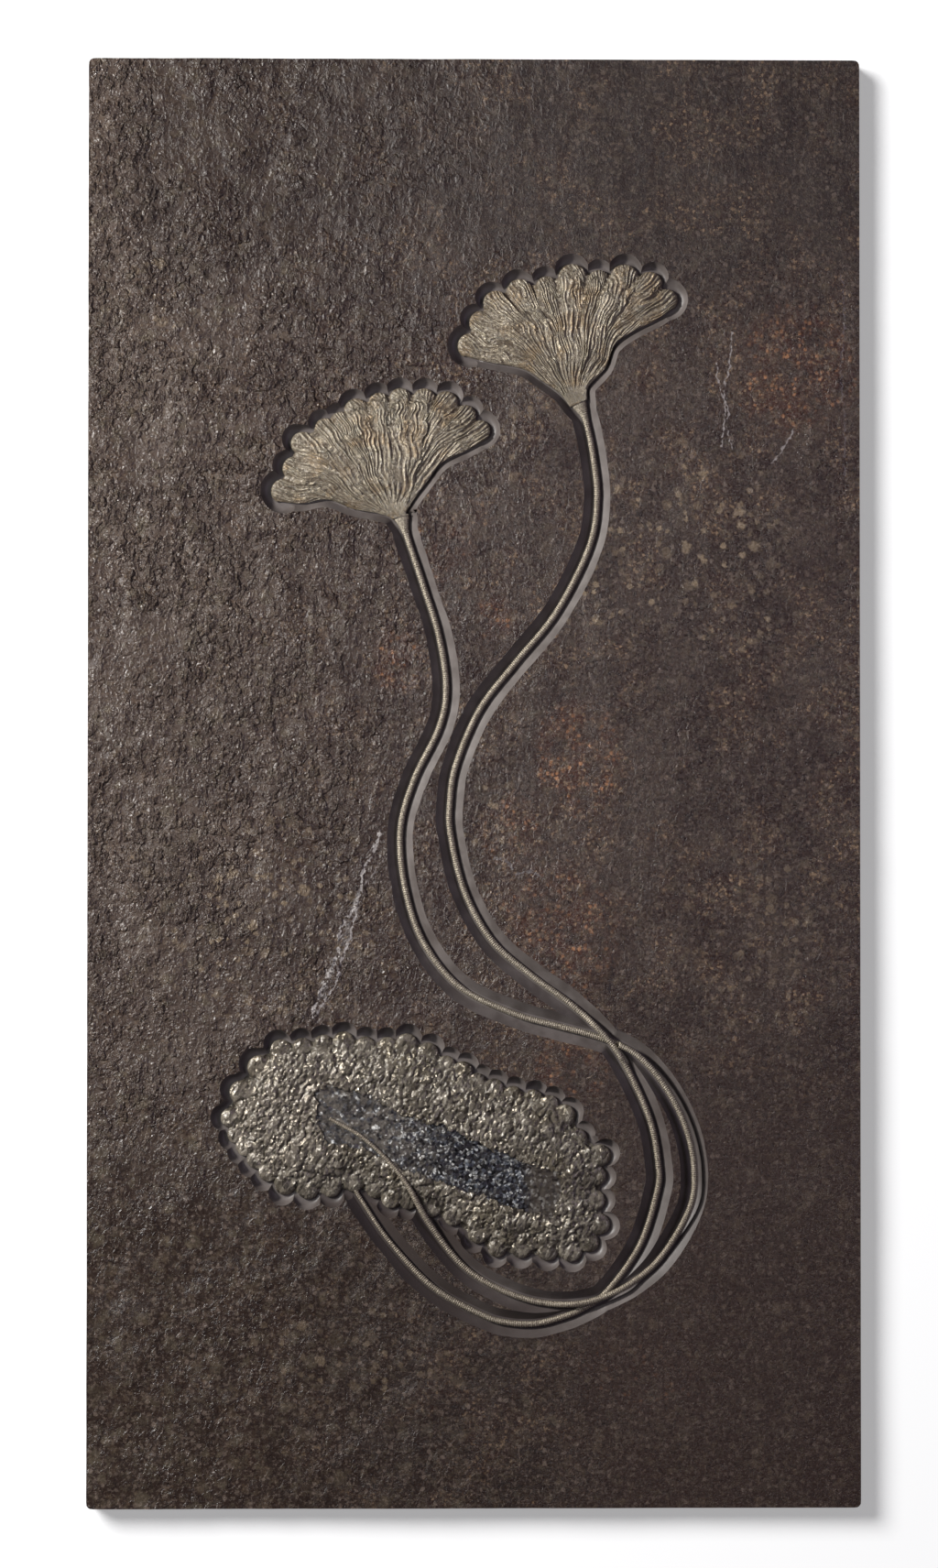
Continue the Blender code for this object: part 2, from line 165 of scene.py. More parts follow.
def sample(line: Line, share: float) -> Vector:
    """The point at this share of a polyline's points."""
    spot = share * (len(line) - 1)
    index = min(int(spot), len(line) - 2)
    return blend(line[index], line[index + 1], spot - index)


def distance_to(place: Vector, line: Line) -> float:
    """How far a place is from the nearest point of a line."""
    return min((place - other).length for other in line)


def box_of(places: Line, margin: float = 0.0) -> tuple[Vector, Vector]:
    """The lowest and highest corner of a box round places, with a margin."""
    low = Vector((min(place.x for place in places) - margin, min(place.y for place in places) - margin))
    high = Vector((max(place.x for place in places) + margin, max(place.y for place in places) + margin))
    return low, high


def cells_in(low: Vector, high: Vector, cell: float) -> tuple[int, int]:
    """How many cells of a size fit across and up a box."""
    return round((high.x - low.x) / cell), round((high.y - low.y) / cell)


def rightward(way: Vector) -> Vector:
    """The direction to the right of a heading."""
    return Vector((way.y, -way.x))


def outward(before: Vector, after: Vector) -> Vector:
    """The direction out of a clockwise ring at a point between two neighbours."""
    along = (after - before).normalized()
    return Vector((-along.y, along.x))


def inside(place: Vector, ring: Line) -> bool:
    """Whether a place lies inside a closed line."""
    within = False
    for a, b in zip(ring, ring[1:] + ring[:1]):
        if (a.y > place.y) != (b.y > place.y):
            if place.x < a.x + (b.x - a.x) * (place.y - a.y) / (b.y - a.y):
                within = not within
    return within


@dataclass(frozen=True)
class Scallops:
    """A clockwise scalloped line round a row of round lobes.

    Attributes:
        lobes: Right, down and radius of each lobe, on the survey sheet.
        steps: Points on each lobe's arc.
        start: Where an open line begins, or None for a ring.
        end: Where an open line ends.
        notch_rise: A notch lies at least this share of a lobe's radius outside the lobes' middles.
    """

    lobes: tuple[Lobe, ...]
    steps: int
    start: Vector | None = None
    end: Vector | None = None
    notch_rise: float = 0.5

    def line(self, grow: float, shift: float = 0.0) -> Line:
        """Draws the line with every lobe's radius grown.

        Args:
            grow: How much further out each lobe reaches, in millimetres.
            shift: How much of that is by moving the lobe outwards, which keeps the notches deep.

        Returns:
            The points, with steps of them to a lobe, and the end point of an open line.
        """
        middles = [at(lobe) for lobe in self.lobes]
        if self.start is None:
            before, after = middles[-1:] + middles[:-1], middles[1:] + middles[:1]
        else:
            before, after = middles[:1] + middles[:-1], middles[1:] + middles[-1:]
        circles = []
        for middle, back, ahead, lobe in zip(middles, before, after, self.lobes):
            circles.append((middle + outward(back, ahead) * shift, lobe[2] + grow - shift))
        notches = [self._notch(a, b) for a, b in zip(circles, circles[1:])]
        if self.start is None:
            first = last = self._notch(circles[-1], circles[0])
        else:
            first, last = self.start, self.end
        line: Line = []
        for circle, begin, finish in zip(circles, [first, *notches], [*notches, last]):
            line += self._arc(circle, begin, finish)
        if self.start is None:
            return line
        centre, radius = circles[-1]
        return [*line, centre + (self.end - centre).normalized() * radius]

    def _notch(self, first: tuple[Vector, float], second: tuple[Vector, float]) -> Vector:
        """The notch between two neighbouring circles, on the left of the way from first to second."""
        (a, r), (b, s) = first, second
        apart = (b - a).length
        along = (b - a) / apart
        reach = (apart**2 + r**2 - s**2) / (2 * apart)
        rise = max(math.sqrt(max(r**2 - reach**2, 0.0)), self.notch_rise * min(r, s))
        return a + along * reach + Vector((-along.y, along.x)) * rise

    def _arc(self, circle: tuple[Vector, float], start: Vector, end: Vector) -> Line:
        """Points clockwise on a circle, from towards start to towards end, leaving out the end."""
        centre, radius = circle
        first = math.atan2(*(start - centre).yx)
        turn = (first - math.atan2(*(end - centre).yx)) % math.tau
        angles = [first - turn * step / self.steps for step in range(self.steps)]
        return [centre + radius * Vector((math.cos(angle), math.sin(angle))) for angle in angles]


def sheet(
    cells: tuple[int, int], place: Callable[[float, float], tuple[float, ...]], marks: Sequence[str] = ()
) -> Solid:
    """Makes an open sheet.

    Args:
        cells: Faces across and up.
        place: Gives the point for u and v from 0 to 1, and after it a number for each mark.
        marks: The attributes that the numbers go to.

    Returns:
        The sheet as a bmesh, in millimetres.
    """
    bm = bmesh.new()
    bmesh.ops.create_grid(bm, x_segments=cells[0], y_segments=cells[1], size=0.5)
    for mark in marks:
        bm.verts.layers.float.new(mark)
    layers = [bm.verts.layers.float[mark] for mark in marks]
    for vert in bm.verts:
        x, y, z, *numbers = place(vert.co.x + 0.5, vert.co.y + 0.5)
        vert.co = (x, y, z)
        for layer, number in zip(layers, numbers):
            vert[layer] = number
    return bm


def close_below(bm: Solid, height: float) -> None:
    """Drops a skirt from an open sheet's edge to the height, and closes it with one flat face."""
    rim = [edge for edge in bm.edges if edge.is_boundary]
    dropped = bmesh.ops.extrude_edge_only(bm, edges=rim)["geom"]
    for vert in dropped:
        if isinstance(vert, bmesh.types.BMVert):
            vert.co.z = height
    base = [edge for edge in dropped if isinstance(edge, bmesh.types.BMEdge) and edge.is_boundary]
    bmesh.ops.contextual_create(bm, geom=base)


def prism(rings: Sequence[tuple[Line, float]]) -> Solid:
    """A closed solid through rings of (line, height), all with the same number of points."""
    bm = bmesh.new()
    loops = []
    for line, height in rings:
        verts = [bm.verts.new((point.x, point.y, height)) for point in line]
        loops.append([bm.edges.new(pair) for pair in zip(verts, verts[1:] + verts[:1])])
    for lower, upper in zip(loops, loops[1:]):
        bmesh.ops.bridge_loops(bm, edges=lower + upper)
    bmesh.ops.contextual_create(bm, geom=loops[0])
    bmesh.ops.contextual_create(bm, geom=loops[-1])
    return bm


def headings(line: Line) -> Line:
    """The direction of a line at each of its points."""
    before, after = [line[0], *line[:-1]], [*line[1:], line[-1]]
    return [(ahead - back).normalized() for back, ahead in zip(before, after)]


def cap(bm: Solid) -> None:
    """Joins the seam of a tube and closes its ends."""
    bmesh.ops.remove_doubles(bm, verts=bm.verts, dist=SEAM)
    bmesh.ops.holes_fill(bm, edges=[edge for edge in bm.edges if edge.is_boundary], sides=0)


def swept(
    stations: Sequence[tuple[Vector, float, float]], section: Sequence[tuple[float, float]]
) -> Solid:
    """Carries a section along a line.

    Args:
        stations: Place, height and scale at each step of the way.
        section: The closed section's points, as across and up.

    Returns:
        The closed solid.
    """
    ways = headings([place for place, _, _ in stations])

    def place(u: float, v: float) -> Point:
        """A point of the tube, for shares round its section and along its line."""
        index = round(v * (len(stations) - 1))
        across, up = section[round(u * len(section)) % len(section)]
        middle, height, scale = stations[index]
        side = rightward(ways[index]) * across * scale
        return (middle.x + side.x, middle.y + side.y, height + up * scale)

    bm = sheet((len(section), len(stations) - 1), place)
    cap(bm)
    return bm


def to_object(bm: Solid, name: str) -> Object:
    """Turns a bmesh in millimetres into an object in metres, with its faces outwards.

    Args:
        bm: The shape, which is freed.
        name: The object's name.

    Returns:
        The new object, at the origin.
    """
    bmesh.ops.recalc_face_normals(bm, faces=bm.faces)
    bmesh.ops.scale(bm, vec=(MM, MM, MM), verts=bm.verts)
    mesh = bpy.data.meshes.new(name)
    bm.to_mesh(mesh)
    bm.free()
    obj = bpy.data.objects.new(name, mesh)
    bpy.context.scene.collection.objects.link(obj)
    return obj


def carve(obj: Object, cutters: Iterable[Object], operation: str) -> None:
    """Applies Boolean cuts to an object and removes the cutters.

    Args:
        obj: The solid that is cut.
        cutters: Closed solids.
        operation: DIFFERENCE or INTERSECT.
    """
    cutters = list(cutters)
    for cutter in cutters:
        cut = obj.modifiers.new(cutter.name, "BOOLEAN")
        cut.object = cutter
        cut.operation = operation
        cut.solver = "MANIFOLD"
    evaluated = obj.evaluated_get(bpy.context.evaluated_depsgraph_get())
    carved = bpy.data.meshes.new_from_object(evaluated)
    obj.modifiers.clear()
    plain, obj.data = obj.data, carved
    name = plain.name
    bpy.data.meshes.remove(plain)
    carved.name = name
    for cutter in cutters:
        bpy.data.meshes.remove(cutter.data)


def paint(obj: Object, name: str, value: Callable[[Vector], float]) -> None:
    """Writes a number at every point of a mesh, for its material to read.

    Args:
        obj: The piece.
        name: The attribute's name.
        value: Gives the number at a place in millimetres.
    """
    layer = obj.data.attributes.new(name, "FLOAT", "POINT")
    numbers = [value(vert.co / MM) for vert in obj.data.vertices]
    layer.data.foreach_set("value", numbers)


def trim(obj: Object, ring: Line, name: str) -> None:
    """Keeps only what lies inside a ring."""
    cutter = to_object(prism([(ring, SEAT_HEIGHT - BELOW_SEAT), (ring, SEAT_HEIGHT + ABOVE_SEAT)]), name)
    carve(obj, [cutter], "INTERSECT")
    obj.data.materials.clear()


def install(obj: Object, node: str) -> None:
    """Makes a piece ride on the slab's body in place of a solid, and tells the log."""
    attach(obj, BODY)
    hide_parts(node)
    obj.data.calc_loop_triangles()
    LOG.info("%s: %d triangles", obj.name, len(obj.data.loop_triangles))


def dress(
    obj: Object, finish: Material, node: str, crease: float | None = None
) -> Object:
    """Gives a fossil its finish and smooth shading, and installs it.

    Args:
        obj: The piece.
        finish: Its material.
        node: The solid it replaces.
        crease: The angle in degrees past which an edge stays sharp, or None.

    Returns:
        The piece.
    """
    obj.data.materials.append(finish)
    obj.data.shade_smooth()
    if crease is not None:
        obj.data.set_sharp_from_angle(angle=math.radians(crease))
    install(obj, node)
    return obj


# ---------------- shader building


class Graph:
    """A node tree that is written in few words."""

    def __init__(self, tree: bpy.types.NodeTree) -> None:
        """Takes the tree to build in."""
        self.tree = tree

    def add(self, kind: str, inputs: dict | None = None, **settings) -> Node:
        """Adds a shader node.

        Args:
            kind: The node's type, without ShaderNode.
            inputs: Values or sockets for its inputs, by name or number.
            **settings: The node's own properties.

        Returns:
            The node.
        """
        node = self.tree.nodes.new(f"ShaderNode{kind}")
        for name, value in settings.items():
            setattr(node, name, value)
        self.feed(node, inputs or {})
        return node

    def feed(self, node: Node, inputs: dict) -> None:
        """Sets or links a node's inputs."""
        for key, value in inputs.items():
            if isinstance(value, Socket):
                self.tree.links.new(value, node.inputs[key])
            else:
                node.inputs[key].default_value = value

    def math(self, operation: str, a: float | Socket, b: float | Socket = 0.0, clamp: bool = False) -> Socket:
        """A Math node's result."""
        return self.add("Math", {0: a, 1: b}, operation=operation, use_clamp=clamp).outputs[0]

    def _chain(self, operation: str, values: Sequence[float | Socket], clamp: bool) -> Socket:
        """Joins values by one operation, from the left, and clamps the last result if asked."""
        result = values[0]
        for index, value in enumerate(values[1:], start=2):
            result = self.math(operation, result, value, clamp=clamp and index == len(values))
        return result

    def times(self, *values: float | Socket, clamp: bool = False) -> Socket:
        """The product of values."""
        return self._chain("MULTIPLY", values, clamp)

    def plus(self, *values: float | Socket, clamp: bool = False) -> Socket:
        """The sum of values."""
        return self._chain("ADD", values, clamp)

    def rest(self, value: float | Socket, share: float | None = None) -> Socket:
        """What is left of 1 after a value, or after a share of it."""
        return self.math("SUBTRACT", 1.0, value if share is None else self.times(value, share))

    def vector(self, operation: str, a: Any, b: Any) -> Socket:
        """A Vector Math node's vector."""
        return self.add("VectorMath", {0: a, 1: b}, operation=operation).outputs[0]

    def dot(self, vector: Socket, way: Point | Socket) -> Socket:
        """How far a vector reaches along a way."""
        return self.add("VectorMath", {0: vector, 1: way}, operation="DOT_PRODUCT").outputs["Value"]

    def axes(self, vector: Socket) -> tuple[Socket, Socket]:
        """A vector's x and y."""
        parts = self.add("SeparateXYZ", {0: vector})
        return parts.outputs[0], parts.outputs[1]

    def area(self, vector: Socket, x: tuple[float, float], y: tuple[float, float]) -> Socket:
        """1 in an area whose soft edges run from the first to the second x and from the first to the second y."""
        across, up = self.axes(vector)
        return self.times(self.remap(across, *x), self.remap(up, *y))

    def mix(self, share: float | Socket, a: Colour | Socket, b: Colour | Socket, kind: str = "MIX") -> Socket:
        """A colour between two, or one blended over the other."""
        node = self.add("Mix", data_type="RGBA", blend_type=kind, clamp_factor=True)
        sockets = [socket for socket in node.inputs if socket.type == "RGBA"]
        for socket, value in ((node.inputs[0], share), *zip(sockets, (a, b))):
            if isinstance(value, Socket):
                self.tree.links.new(value, socket)
            elif isinstance(value, tuple):
                socket.default_value = (*value, 1.0)
            else:
                socket.default_value = value
        return next(socket for socket in node.outputs if socket.type == "RGBA")

    def remap(
        self, value: Socket, low: float | Socket, high: float | Socket, to_low: float = 0.0, to_high: float = 1.0
    ) -> Socket:
        """A smooth step of a value from one range to another."""
        ranges = {"Value": value, "From Min": low, "From Max": high, "To Min": to_low, "To Max": to_high}
        return self.add("MapRange", ranges, interpolation_type="SMOOTHSTEP").outputs[0]

    def noise(
        self, vector: Socket, scale: float | Socket, detail: float | Socket = 3.0, roughness: float = 0.55
    ) -> Socket:
        """A noise value about one half, with features 1 / scale across."""
        inputs = {"Vector": vector, "Scale": scale, "Detail": detail, "Roughness": roughness}
        return self.add("TexNoise", inputs).outputs["Fac"]

    def attribute(self, name: str) -> Socket:
        """A number that was painted on the mesh."""
        return self.add("Attribute", attribute_name=name, attribute_type="GEOMETRY").outputs["Fac"]

    def group(self, name: str, inputs: dict) -> Node:
        """Places a shared effect."""
        return self.add("Group", inputs, node_tree=bpy.data.node_groups[name])

    def mottle(self, vector: Socket, size: float, low: float, high: float, detail: float | None = None) -> Socket:
        """Cloudy patches, as a mask."""
        inputs = {"Vector": vector, "Size": size, "Low": low, "High": high}
        if detail is not None:
            inputs["Detail"] = detail
        return self.group(Effects.MOTTLE, inputs).outputs[0]

    def glint(self, vector: Socket, size: float) -> tuple[Socket, Socket]:
        """Little tilted crystal faces: their height, and a random number for each."""
        node = self.group(Effects.GLINT, {"Vector": vector, "Size": size})
        return node.outputs[0], node.outputs[1]


class Effects:
    """Shader node groups that several finishes share. Their vectors are in millimetres."""

    MOTTLE = "mottle"
    SPECKLE = "speckle"
    FLAKES = "flakes"
    WRINKLE = "wrinkle"
    GLINT = "glint facets"
    HALF: Point = (0.5, 0.5, 0.5)

    def build(self) -> None:
        """Builds every group once."""
        self._mottle()
        self._speckle()
        self._flakes()
        self._wrinkle()
        self._glint()
        LOG.info("effects: %d shared groups", len(bpy.data.node_groups))

    @staticmethod
    def _start(name: str, inputs: dict, outputs: Sequence[str]) -> tuple[Graph, dict[str, Socket], Node]:
        """Opens a group.

        Args:
            name: The group's name.
            inputs: Its number inputs with their usual values; one is Size. A Vector input comes before them.
            outputs: Its number outputs.

        Returns:
            Its nodes, its inputs by name with 1 / Size as Scale, and its output node.
        """
        tree = bpy.data.node_groups.new(name, "ShaderNodeTree")
        tree.interface.new_socket("Vector", in_out="INPUT", socket_type="NodeSocketVector")
        for label, value in inputs.items():
            socket = tree.interface.new_socket(label, in_out="INPUT", socket_type="NodeSocketFloat")
            socket.default_value = value
        for label in outputs:
            tree.interface.new_socket(label, in_out="OUTPUT", socket_type="NodeSocketFloat")
        graph = Graph(tree)
        taken = {socket.name: socket for socket in tree.nodes.new("NodeGroupInput").outputs}
        taken["Scale"] = graph.math("DIVIDE", 1.0, taken["Size"])
        return graph, taken, tree.nodes.new("NodeGroupOutput")

    def _mottle(self) -> None:
        """Cloudy patches with soft edges."""
        graph, taken, given = self._start(
            self.MOTTLE, {"Size": 30.0, "Detail": 4.0, "Low": 0.4, "High": 0.6}, ["Mask"]
        )
        cloud = graph.noise(taken["Vector"], taken["Scale"], taken["Detail"], 0.5)
        graph.feed(given, {"Mask": graph.remap(cloud, taken["Low"], taken["High"])})

    def _speckle(self) -> None:
        """Scattered irregular spots, a share of the cells being filled, and a random number for each."""
        graph, taken, given = self._start(
            self.SPECKLE, {"Size": 8.0, "Share": 0.4, "Spot": 0.35, "Ragged": 0.8}, ["Mask", "Random"]
        )
        wander = graph.times(taken["Scale"], 2.2)
        rough = graph.add("TexNoise", {"Vector": taken["Vector"], "Scale": wander, "Detail": 4.0, "Roughness": 0.6})
        centred = graph.vector("SUBTRACT", rough.outputs["Color"], self.HALF)
        reach = graph.times(taken["Ragged"], taken["Size"])
        shift = graph.add("VectorMath", {0: centred, "Scale": reach}, operation="SCALE").outputs[0]
        moved = graph.vector("ADD", taken["Vector"], shift)
        cells = graph.add("TexVoronoi", {"Vector": moved, "Scale": taken["Scale"]}, feature="F1")
        chance = graph.add("SeparateColor", {0: cells.outputs["Color"]}).outputs
        filled = graph.math("LESS_THAN", chance[0], taken["Share"])
        spot = graph.remap(cells.outputs["Distance"], taken["Spot"], graph.times(taken["Spot"], 0.6))
        graph.feed(given, {"Mask": graph.times(filled, spot), "Random": chance[1]})

    def _flakes(self) -> None:
        """Patches of thin flakes that overlap like tiles, with ragged broken edges towards the left."""
        graph, taken, given = self._start(
            self.FLAKES, {"Size": 8.0, "Wander": 3.4, "Sharp": 0.2, "Low": 0.46, "High": 0.58}, ["Height"]
        )
        across = graph.dot(taken["Vector"], (0.99, -0.06, 0.0))
        stretched = graph.vector("MULTIPLY", taken["Vector"], (1.0, 0.88, 1.0))
        ragged = graph.noise(stretched, graph.times(taken["Scale"], 0.55), 5.0, 0.60)
        phase = graph.plus(graph.times(across, taken["Scale"]), graph.times(ragged, taken["Wander"]))
        part = graph.math("FRACT", phase)
        flake = graph.times(graph.remap(part, 0.0, taken["Sharp"]), graph.rest(part))
        moved = graph.vector("ADD", taken["Vector"], (171.0, 93.0, 0.0))
        patch = graph.noise(moved, graph.times(taken["Scale"], 0.9), 2.0, 0.6)
        graph.feed(given, {"Height": graph.times(flake, graph.remap(patch, taken["Low"], taken["High"]))})

    def _wrinkle(self) -> None:
        """Short crinkled ridges of about one size."""
        graph, taken, given = self._start(self.WRINKLE, {"Size": 6.0}, ["Height"])
        bent = {"Vector": taken["Vector"], "Scale": taken["Scale"], "Detail": 3.0, "Distortion": 0.6}
        centred = graph.math("SUBTRACT", graph.add("TexNoise", bent).outputs["Fac"], 0.5)
        folded = graph.times(graph.math("ABSOLUTE", centred), 4.0)
        graph.feed(given, {"Height": graph.math("SUBTRACT", 0.5, folded)})

    def _glint(self) -> None:
        """Little tilted crystal faces: a height whose cells each slope their own way."""
        graph, taken, given = self._start(self.GLINT, {"Size": 3.0}, ["Height", "Random"])
        cells = graph.add("TexVoronoi", {"Vector": taken["Vector"], "Scale": taken["Scale"]}, feature="F1")
        offset = graph.vector("SUBTRACT", taken["Vector"], cells.outputs["Position"])
        lean = graph.vector("SUBTRACT", cells.outputs["Color"], self.HALF)
        chance = graph.add("SeparateColor", {0: cells.outputs["Color"]}).outputs
        graph.feed(given, {"Height": graph.dot(offset, lean), "Random": chance[2]})


@dataclass(frozen=True)
class Finish:
    """What every finish has: a name, and a shader with millimetre coordinates."""

    name: str

    def material(self) -> Material:
        """Builds the material."""
        made = bpy.data.materials.new(self.name)
        made.use_nodes = True
        graph = Graph(made.node_tree)
        shader = made.node_tree.nodes["Principled BSDF"]
        place = graph.add("TexCoord").outputs["Object"]
        self.dress(graph, shader, graph.vector("MULTIPLY", place, (1 / MM, 1 / MM, 1 / MM)))
        return made

    def dress(self, graph: Graph, shader: Node, mm: Socket) -> None:
        """Fills the shader's sockets.

        Args:
            graph: The material's nodes.
            shader: Its Principled BSDF.
            mm: Object coordinates in millimetres.
        """
        raise NotImplementedError

    @staticmethod
    def finish(
        graph: Graph, shader: Node, colour: Socket, roughness: Socket, height: Socket,
        metallic: float | Socket = 0.0,
    ) -> None:
        """Feeds the shader.

        Args:
            graph: The material's nodes.
            shader: Its Principled BSDF.
            colour: The surface's colour.
            roughness: Its roughness.
            height: Its relief in millimetres.
            metallic: How much it looks like metal.
        """
        bump = graph.add("Bump", {"Height": height, "Distance": MM, "Strength": 1.0})
        graph.feed(shader, {
            "Base Color": colour, "Roughness": roughness, "Metallic": metallic, "Normal": bump.outputs[0],
        })


# ---------------- finishes


@dataclass(frozen=True)
class Zones:
    """Masks over the slab's face.

    Attributes:
        left: Rises from the middle to the left edge.
        far_left: The same, but stronger near the edge.
        low: The bottom of the slab.
        upper: The top, but for its left edge.
        corner: The lower right corner.
        fine: A fine noise for soot and grit.
    """

    left: Socket
    far_left: Socket
    low: Socket
    upper: Socket
    corner: Socket
    fine: Socket


@dataclass(frozen=True)
class Vein:
    """A thin line across the face: most are pale mineral, and one dark one is a painted shadow along a step's lip.

    Attributes:
        start: Survey place where it begins.
        end: Survey place where it ends.
        offsets: How far it strays to the left of the straight way, in millimetres, at even steps.
        width: Its half width in millimetres.
        colour: Its colour.
        strength: How solid it is.
    """

    WOBBLE: ClassVar[float] = 9.0

    start: Place
    end: Place
    offsets: tuple[float, ...]
    width: float = 1.3
    colour: Colour = (0.30, 0.27, 0.26)
    strength: float = 0.9

    def mask(self, graph: Graph, mm: Socket) -> Socket:
        """Gives 1 on the vein and 0 off it."""
        start, end = at(self.start), at(self.end)
        length = (end - start).length
        along = (end - start) / length
        offset = graph.vector("SUBTRACT", mm, (start.x, start.y, 0.0))
        share = graph.math("DIVIDE", graph.dot(offset, (along.x, along.y, 0.0)), length)
        side = graph.dot(offset, (-along.y, along.x, 0.0))
        reach = max(map(abs, self.offsets)) or 1.0
        curve_node = graph.add("FloatCurve", {"Value": share})
        curve = curve_node.mapping.curves[0]
        last = len(self.offsets) - 1
        for index, value in enumerate(self.offsets):
            level = 0.5 + 0.5 * value / reach
            if index in (0, last):
                curve.points[0 if index == 0 else -1].location = (index / last, level)
            else:
                curve.points.new(index / last, level)
        curve_node.mapping.update()
        stray = graph.times(graph.math("SUBTRACT", curve_node.outputs[0], 0.5), 2 * reach)
        wobble = graph.times(graph.math("SUBTRACT", graph.noise(mm, 0.16, 4.0), 0.5), self.WOBBLE)
        apart = graph.math("ABSOLUTE", graph.math("SUBTRACT", side, graph.plus(stray, wobble)))
        ragged = graph.times(graph.remap(graph.noise(mm, 0.25, 2.0), 0.35, 0.65), self.width)
        line = graph.math("LESS_THAN", apart, ragged)
        within = graph.times(graph.math("GREATER_THAN", share, 0.0), graph.math("LESS_THAN", share, 1.0))
        return graph.times(line, within, self.strength)


@dataclass(frozen=True)
class SplitShale(Finish):
    """The slab's face: dark oil shale split along its bedding, flecked with shell and stained with rust."""

    name: str = "split shale"
    dark: Colour = (0.0300, 0.0158, 0.0122)
    # Grey of random patches, and of the painted sheen towards the left edge.
    grey: Colour = (0.093, 0.0685, 0.0550)
    # Painted shade for the bottom of the face.
    bottom_shade: Colour = (0.0245, 0.0139, 0.0096)
    # Painted light for the lower right corner.
    corner_light: Colour = (0.0440, 0.0260, 0.0200)
    pit: Colour = (0.014, 0.0085, 0.0070)
    olive: Colour = (0.118, 0.096, 0.064)
    tan: Colour = (0.30, 0.205, 0.125)
    speck: Colour = (0.165, 0.125, 0.100)
    litter: Colour = (0.275, 0.208, 0.135)
    ochre: Colour = (0.420, 0.205, 0.098)
    rust: Colour = (0.076, 0.0268, 0.0160)
    red: Colour = (0.050, 0.0225, 0.0150)
    soot: Colour = (0.30, 0.25, 0.22)
    shade: Colour = (0.30, 0.27, 0.24)
    veins: tuple[Vein, ...] = ()

    def dress(self, graph: Graph, shader: Node, mm: Socket) -> None:
        """Mixes the shale's colours and builds its grain."""
        across, up = graph.axes(mm)
        left = graph.remap(across, 160.0, -360.0)
        zones = Zones(
            left=left,
            far_left=graph.times(left, left),
            low=graph.remap(graph.plus(up, graph.times(left, 60.0)), -180.0, -460.0),
            upper=graph.area(mm, (-410.0, -330.0), (420.0, 640.0)),
            corner=graph.area(mm, (20.0, 200.0), (-240.0, -400.0)),
            fine=graph.noise(mm, 0.55, 4.0, 0.75),
        )
        rough = graph.remap(graph.noise(mm, 0.3), 0.3, 0.7, 0.20, 0.36)
        matt = graph.plus(graph.times(zones.upper, 0.08), graph.times(zones.low, 0.05))
        colour = self._colour(graph, mm, zones)
        self.finish(graph, shader, colour, graph.plus(rough, matt), self._relief(graph, mm, zones))

    def _colour(self, graph: Graph, mm: Socket, zones: Zones) -> Socket:
        """The stone's tone by area, with painted sheen at the left edge, painted shade at the top and bottom and
        painted light in the lower right corner, then its stains, blotches, spots, soot, veins and a painted shadow
        line.
        """
        clouds = graph.times(graph.mottle(mm, 60.0, 0.40, 0.60, 6.0), 0.36)
        # Painted sheen: the face is painted greyer and lighter towards its left edge, over grey patches that lie at
        # random.
        base = graph.mix(graph.plus(clouds, graph.times(zones.far_left, 0.66)), self.dark, self.grey)
        # Painted shade: the bottom of the face is painted darker and browner.
        base = graph.mix(graph.times(zones.low, 0.95), base, self.bottom_shade)
        # Painted shade: the top of the face, but for its left edge, is painted darker.
        base = graph.mix(graph.times(zones.upper, 0.50), base, self.dark)
        torn = graph.remap(graph.noise(mm, 0.045, 5.0, 0.65), 0.38, 0.6)
        rusty = graph.times(graph.remap(graph.attribute("stain"), 0.1, 0.9), torn)
        base = graph.mix(graph.times(rusty, 0.85), base, self.rust)
        # Painted light: the lower right corner is painted a lighter brown.
        base = graph.mix(graph.times(zones.corner, 0.8), base, self.corner_light)

        bare = graph.math("MAXIMUM", zones.corner, graph.times(zones.left, 0.75))
        clusters = graph.plus(graph.mottle(mm, 46.0, 0.47, 0.62, 5.0), rusty, 0.06, clamp=True)
        clusters = graph.times(clusters, graph.rest(bare), graph.rest(zones.low, 0.35))
        base = graph.mix(graph.times(clusters, 0.45), base, self.red)
        spotted = graph.plus(graph.times(zones.left, 0.7), 0.18)
        peppered = graph.rest(graph.times(zones.left, 0.55, graph.rest(zones.low)))
        peppered = graph.times(peppered, graph.rest(zones.corner, 0.30))
        littered = graph.remap(graph.attribute("litter"), 0.0, 1.0, 0.12, 1.0)
        # Blotches: pace and threshold of the noise, strength, colour and where they lie.
        for pace, thin, full, strength, colour, where in (
            (0.11, 0.53, 0.61, 0.30, self.olive, peppered), (0.13, 0.54, 0.61, 0.60, self.pit, peppered),
            (0.24, 0.54, 0.60, 0.48, self.speck, peppered), (0.10, 0.54, 0.64, 0.55, self.olive, clusters),
            (0.19, 0.56, 0.65, 0.80, self.tan, clusters),
        ):
            shifted = graph.vector("ADD", mm, (full * 900.0, pace * 900.0, 0.0))
            blotches = graph.remap(graph.noise(shifted, pace, 4.0, 0.72), thin, full)
            base = graph.mix(graph.times(blotches, strength, where, clamp=True), base, colour)
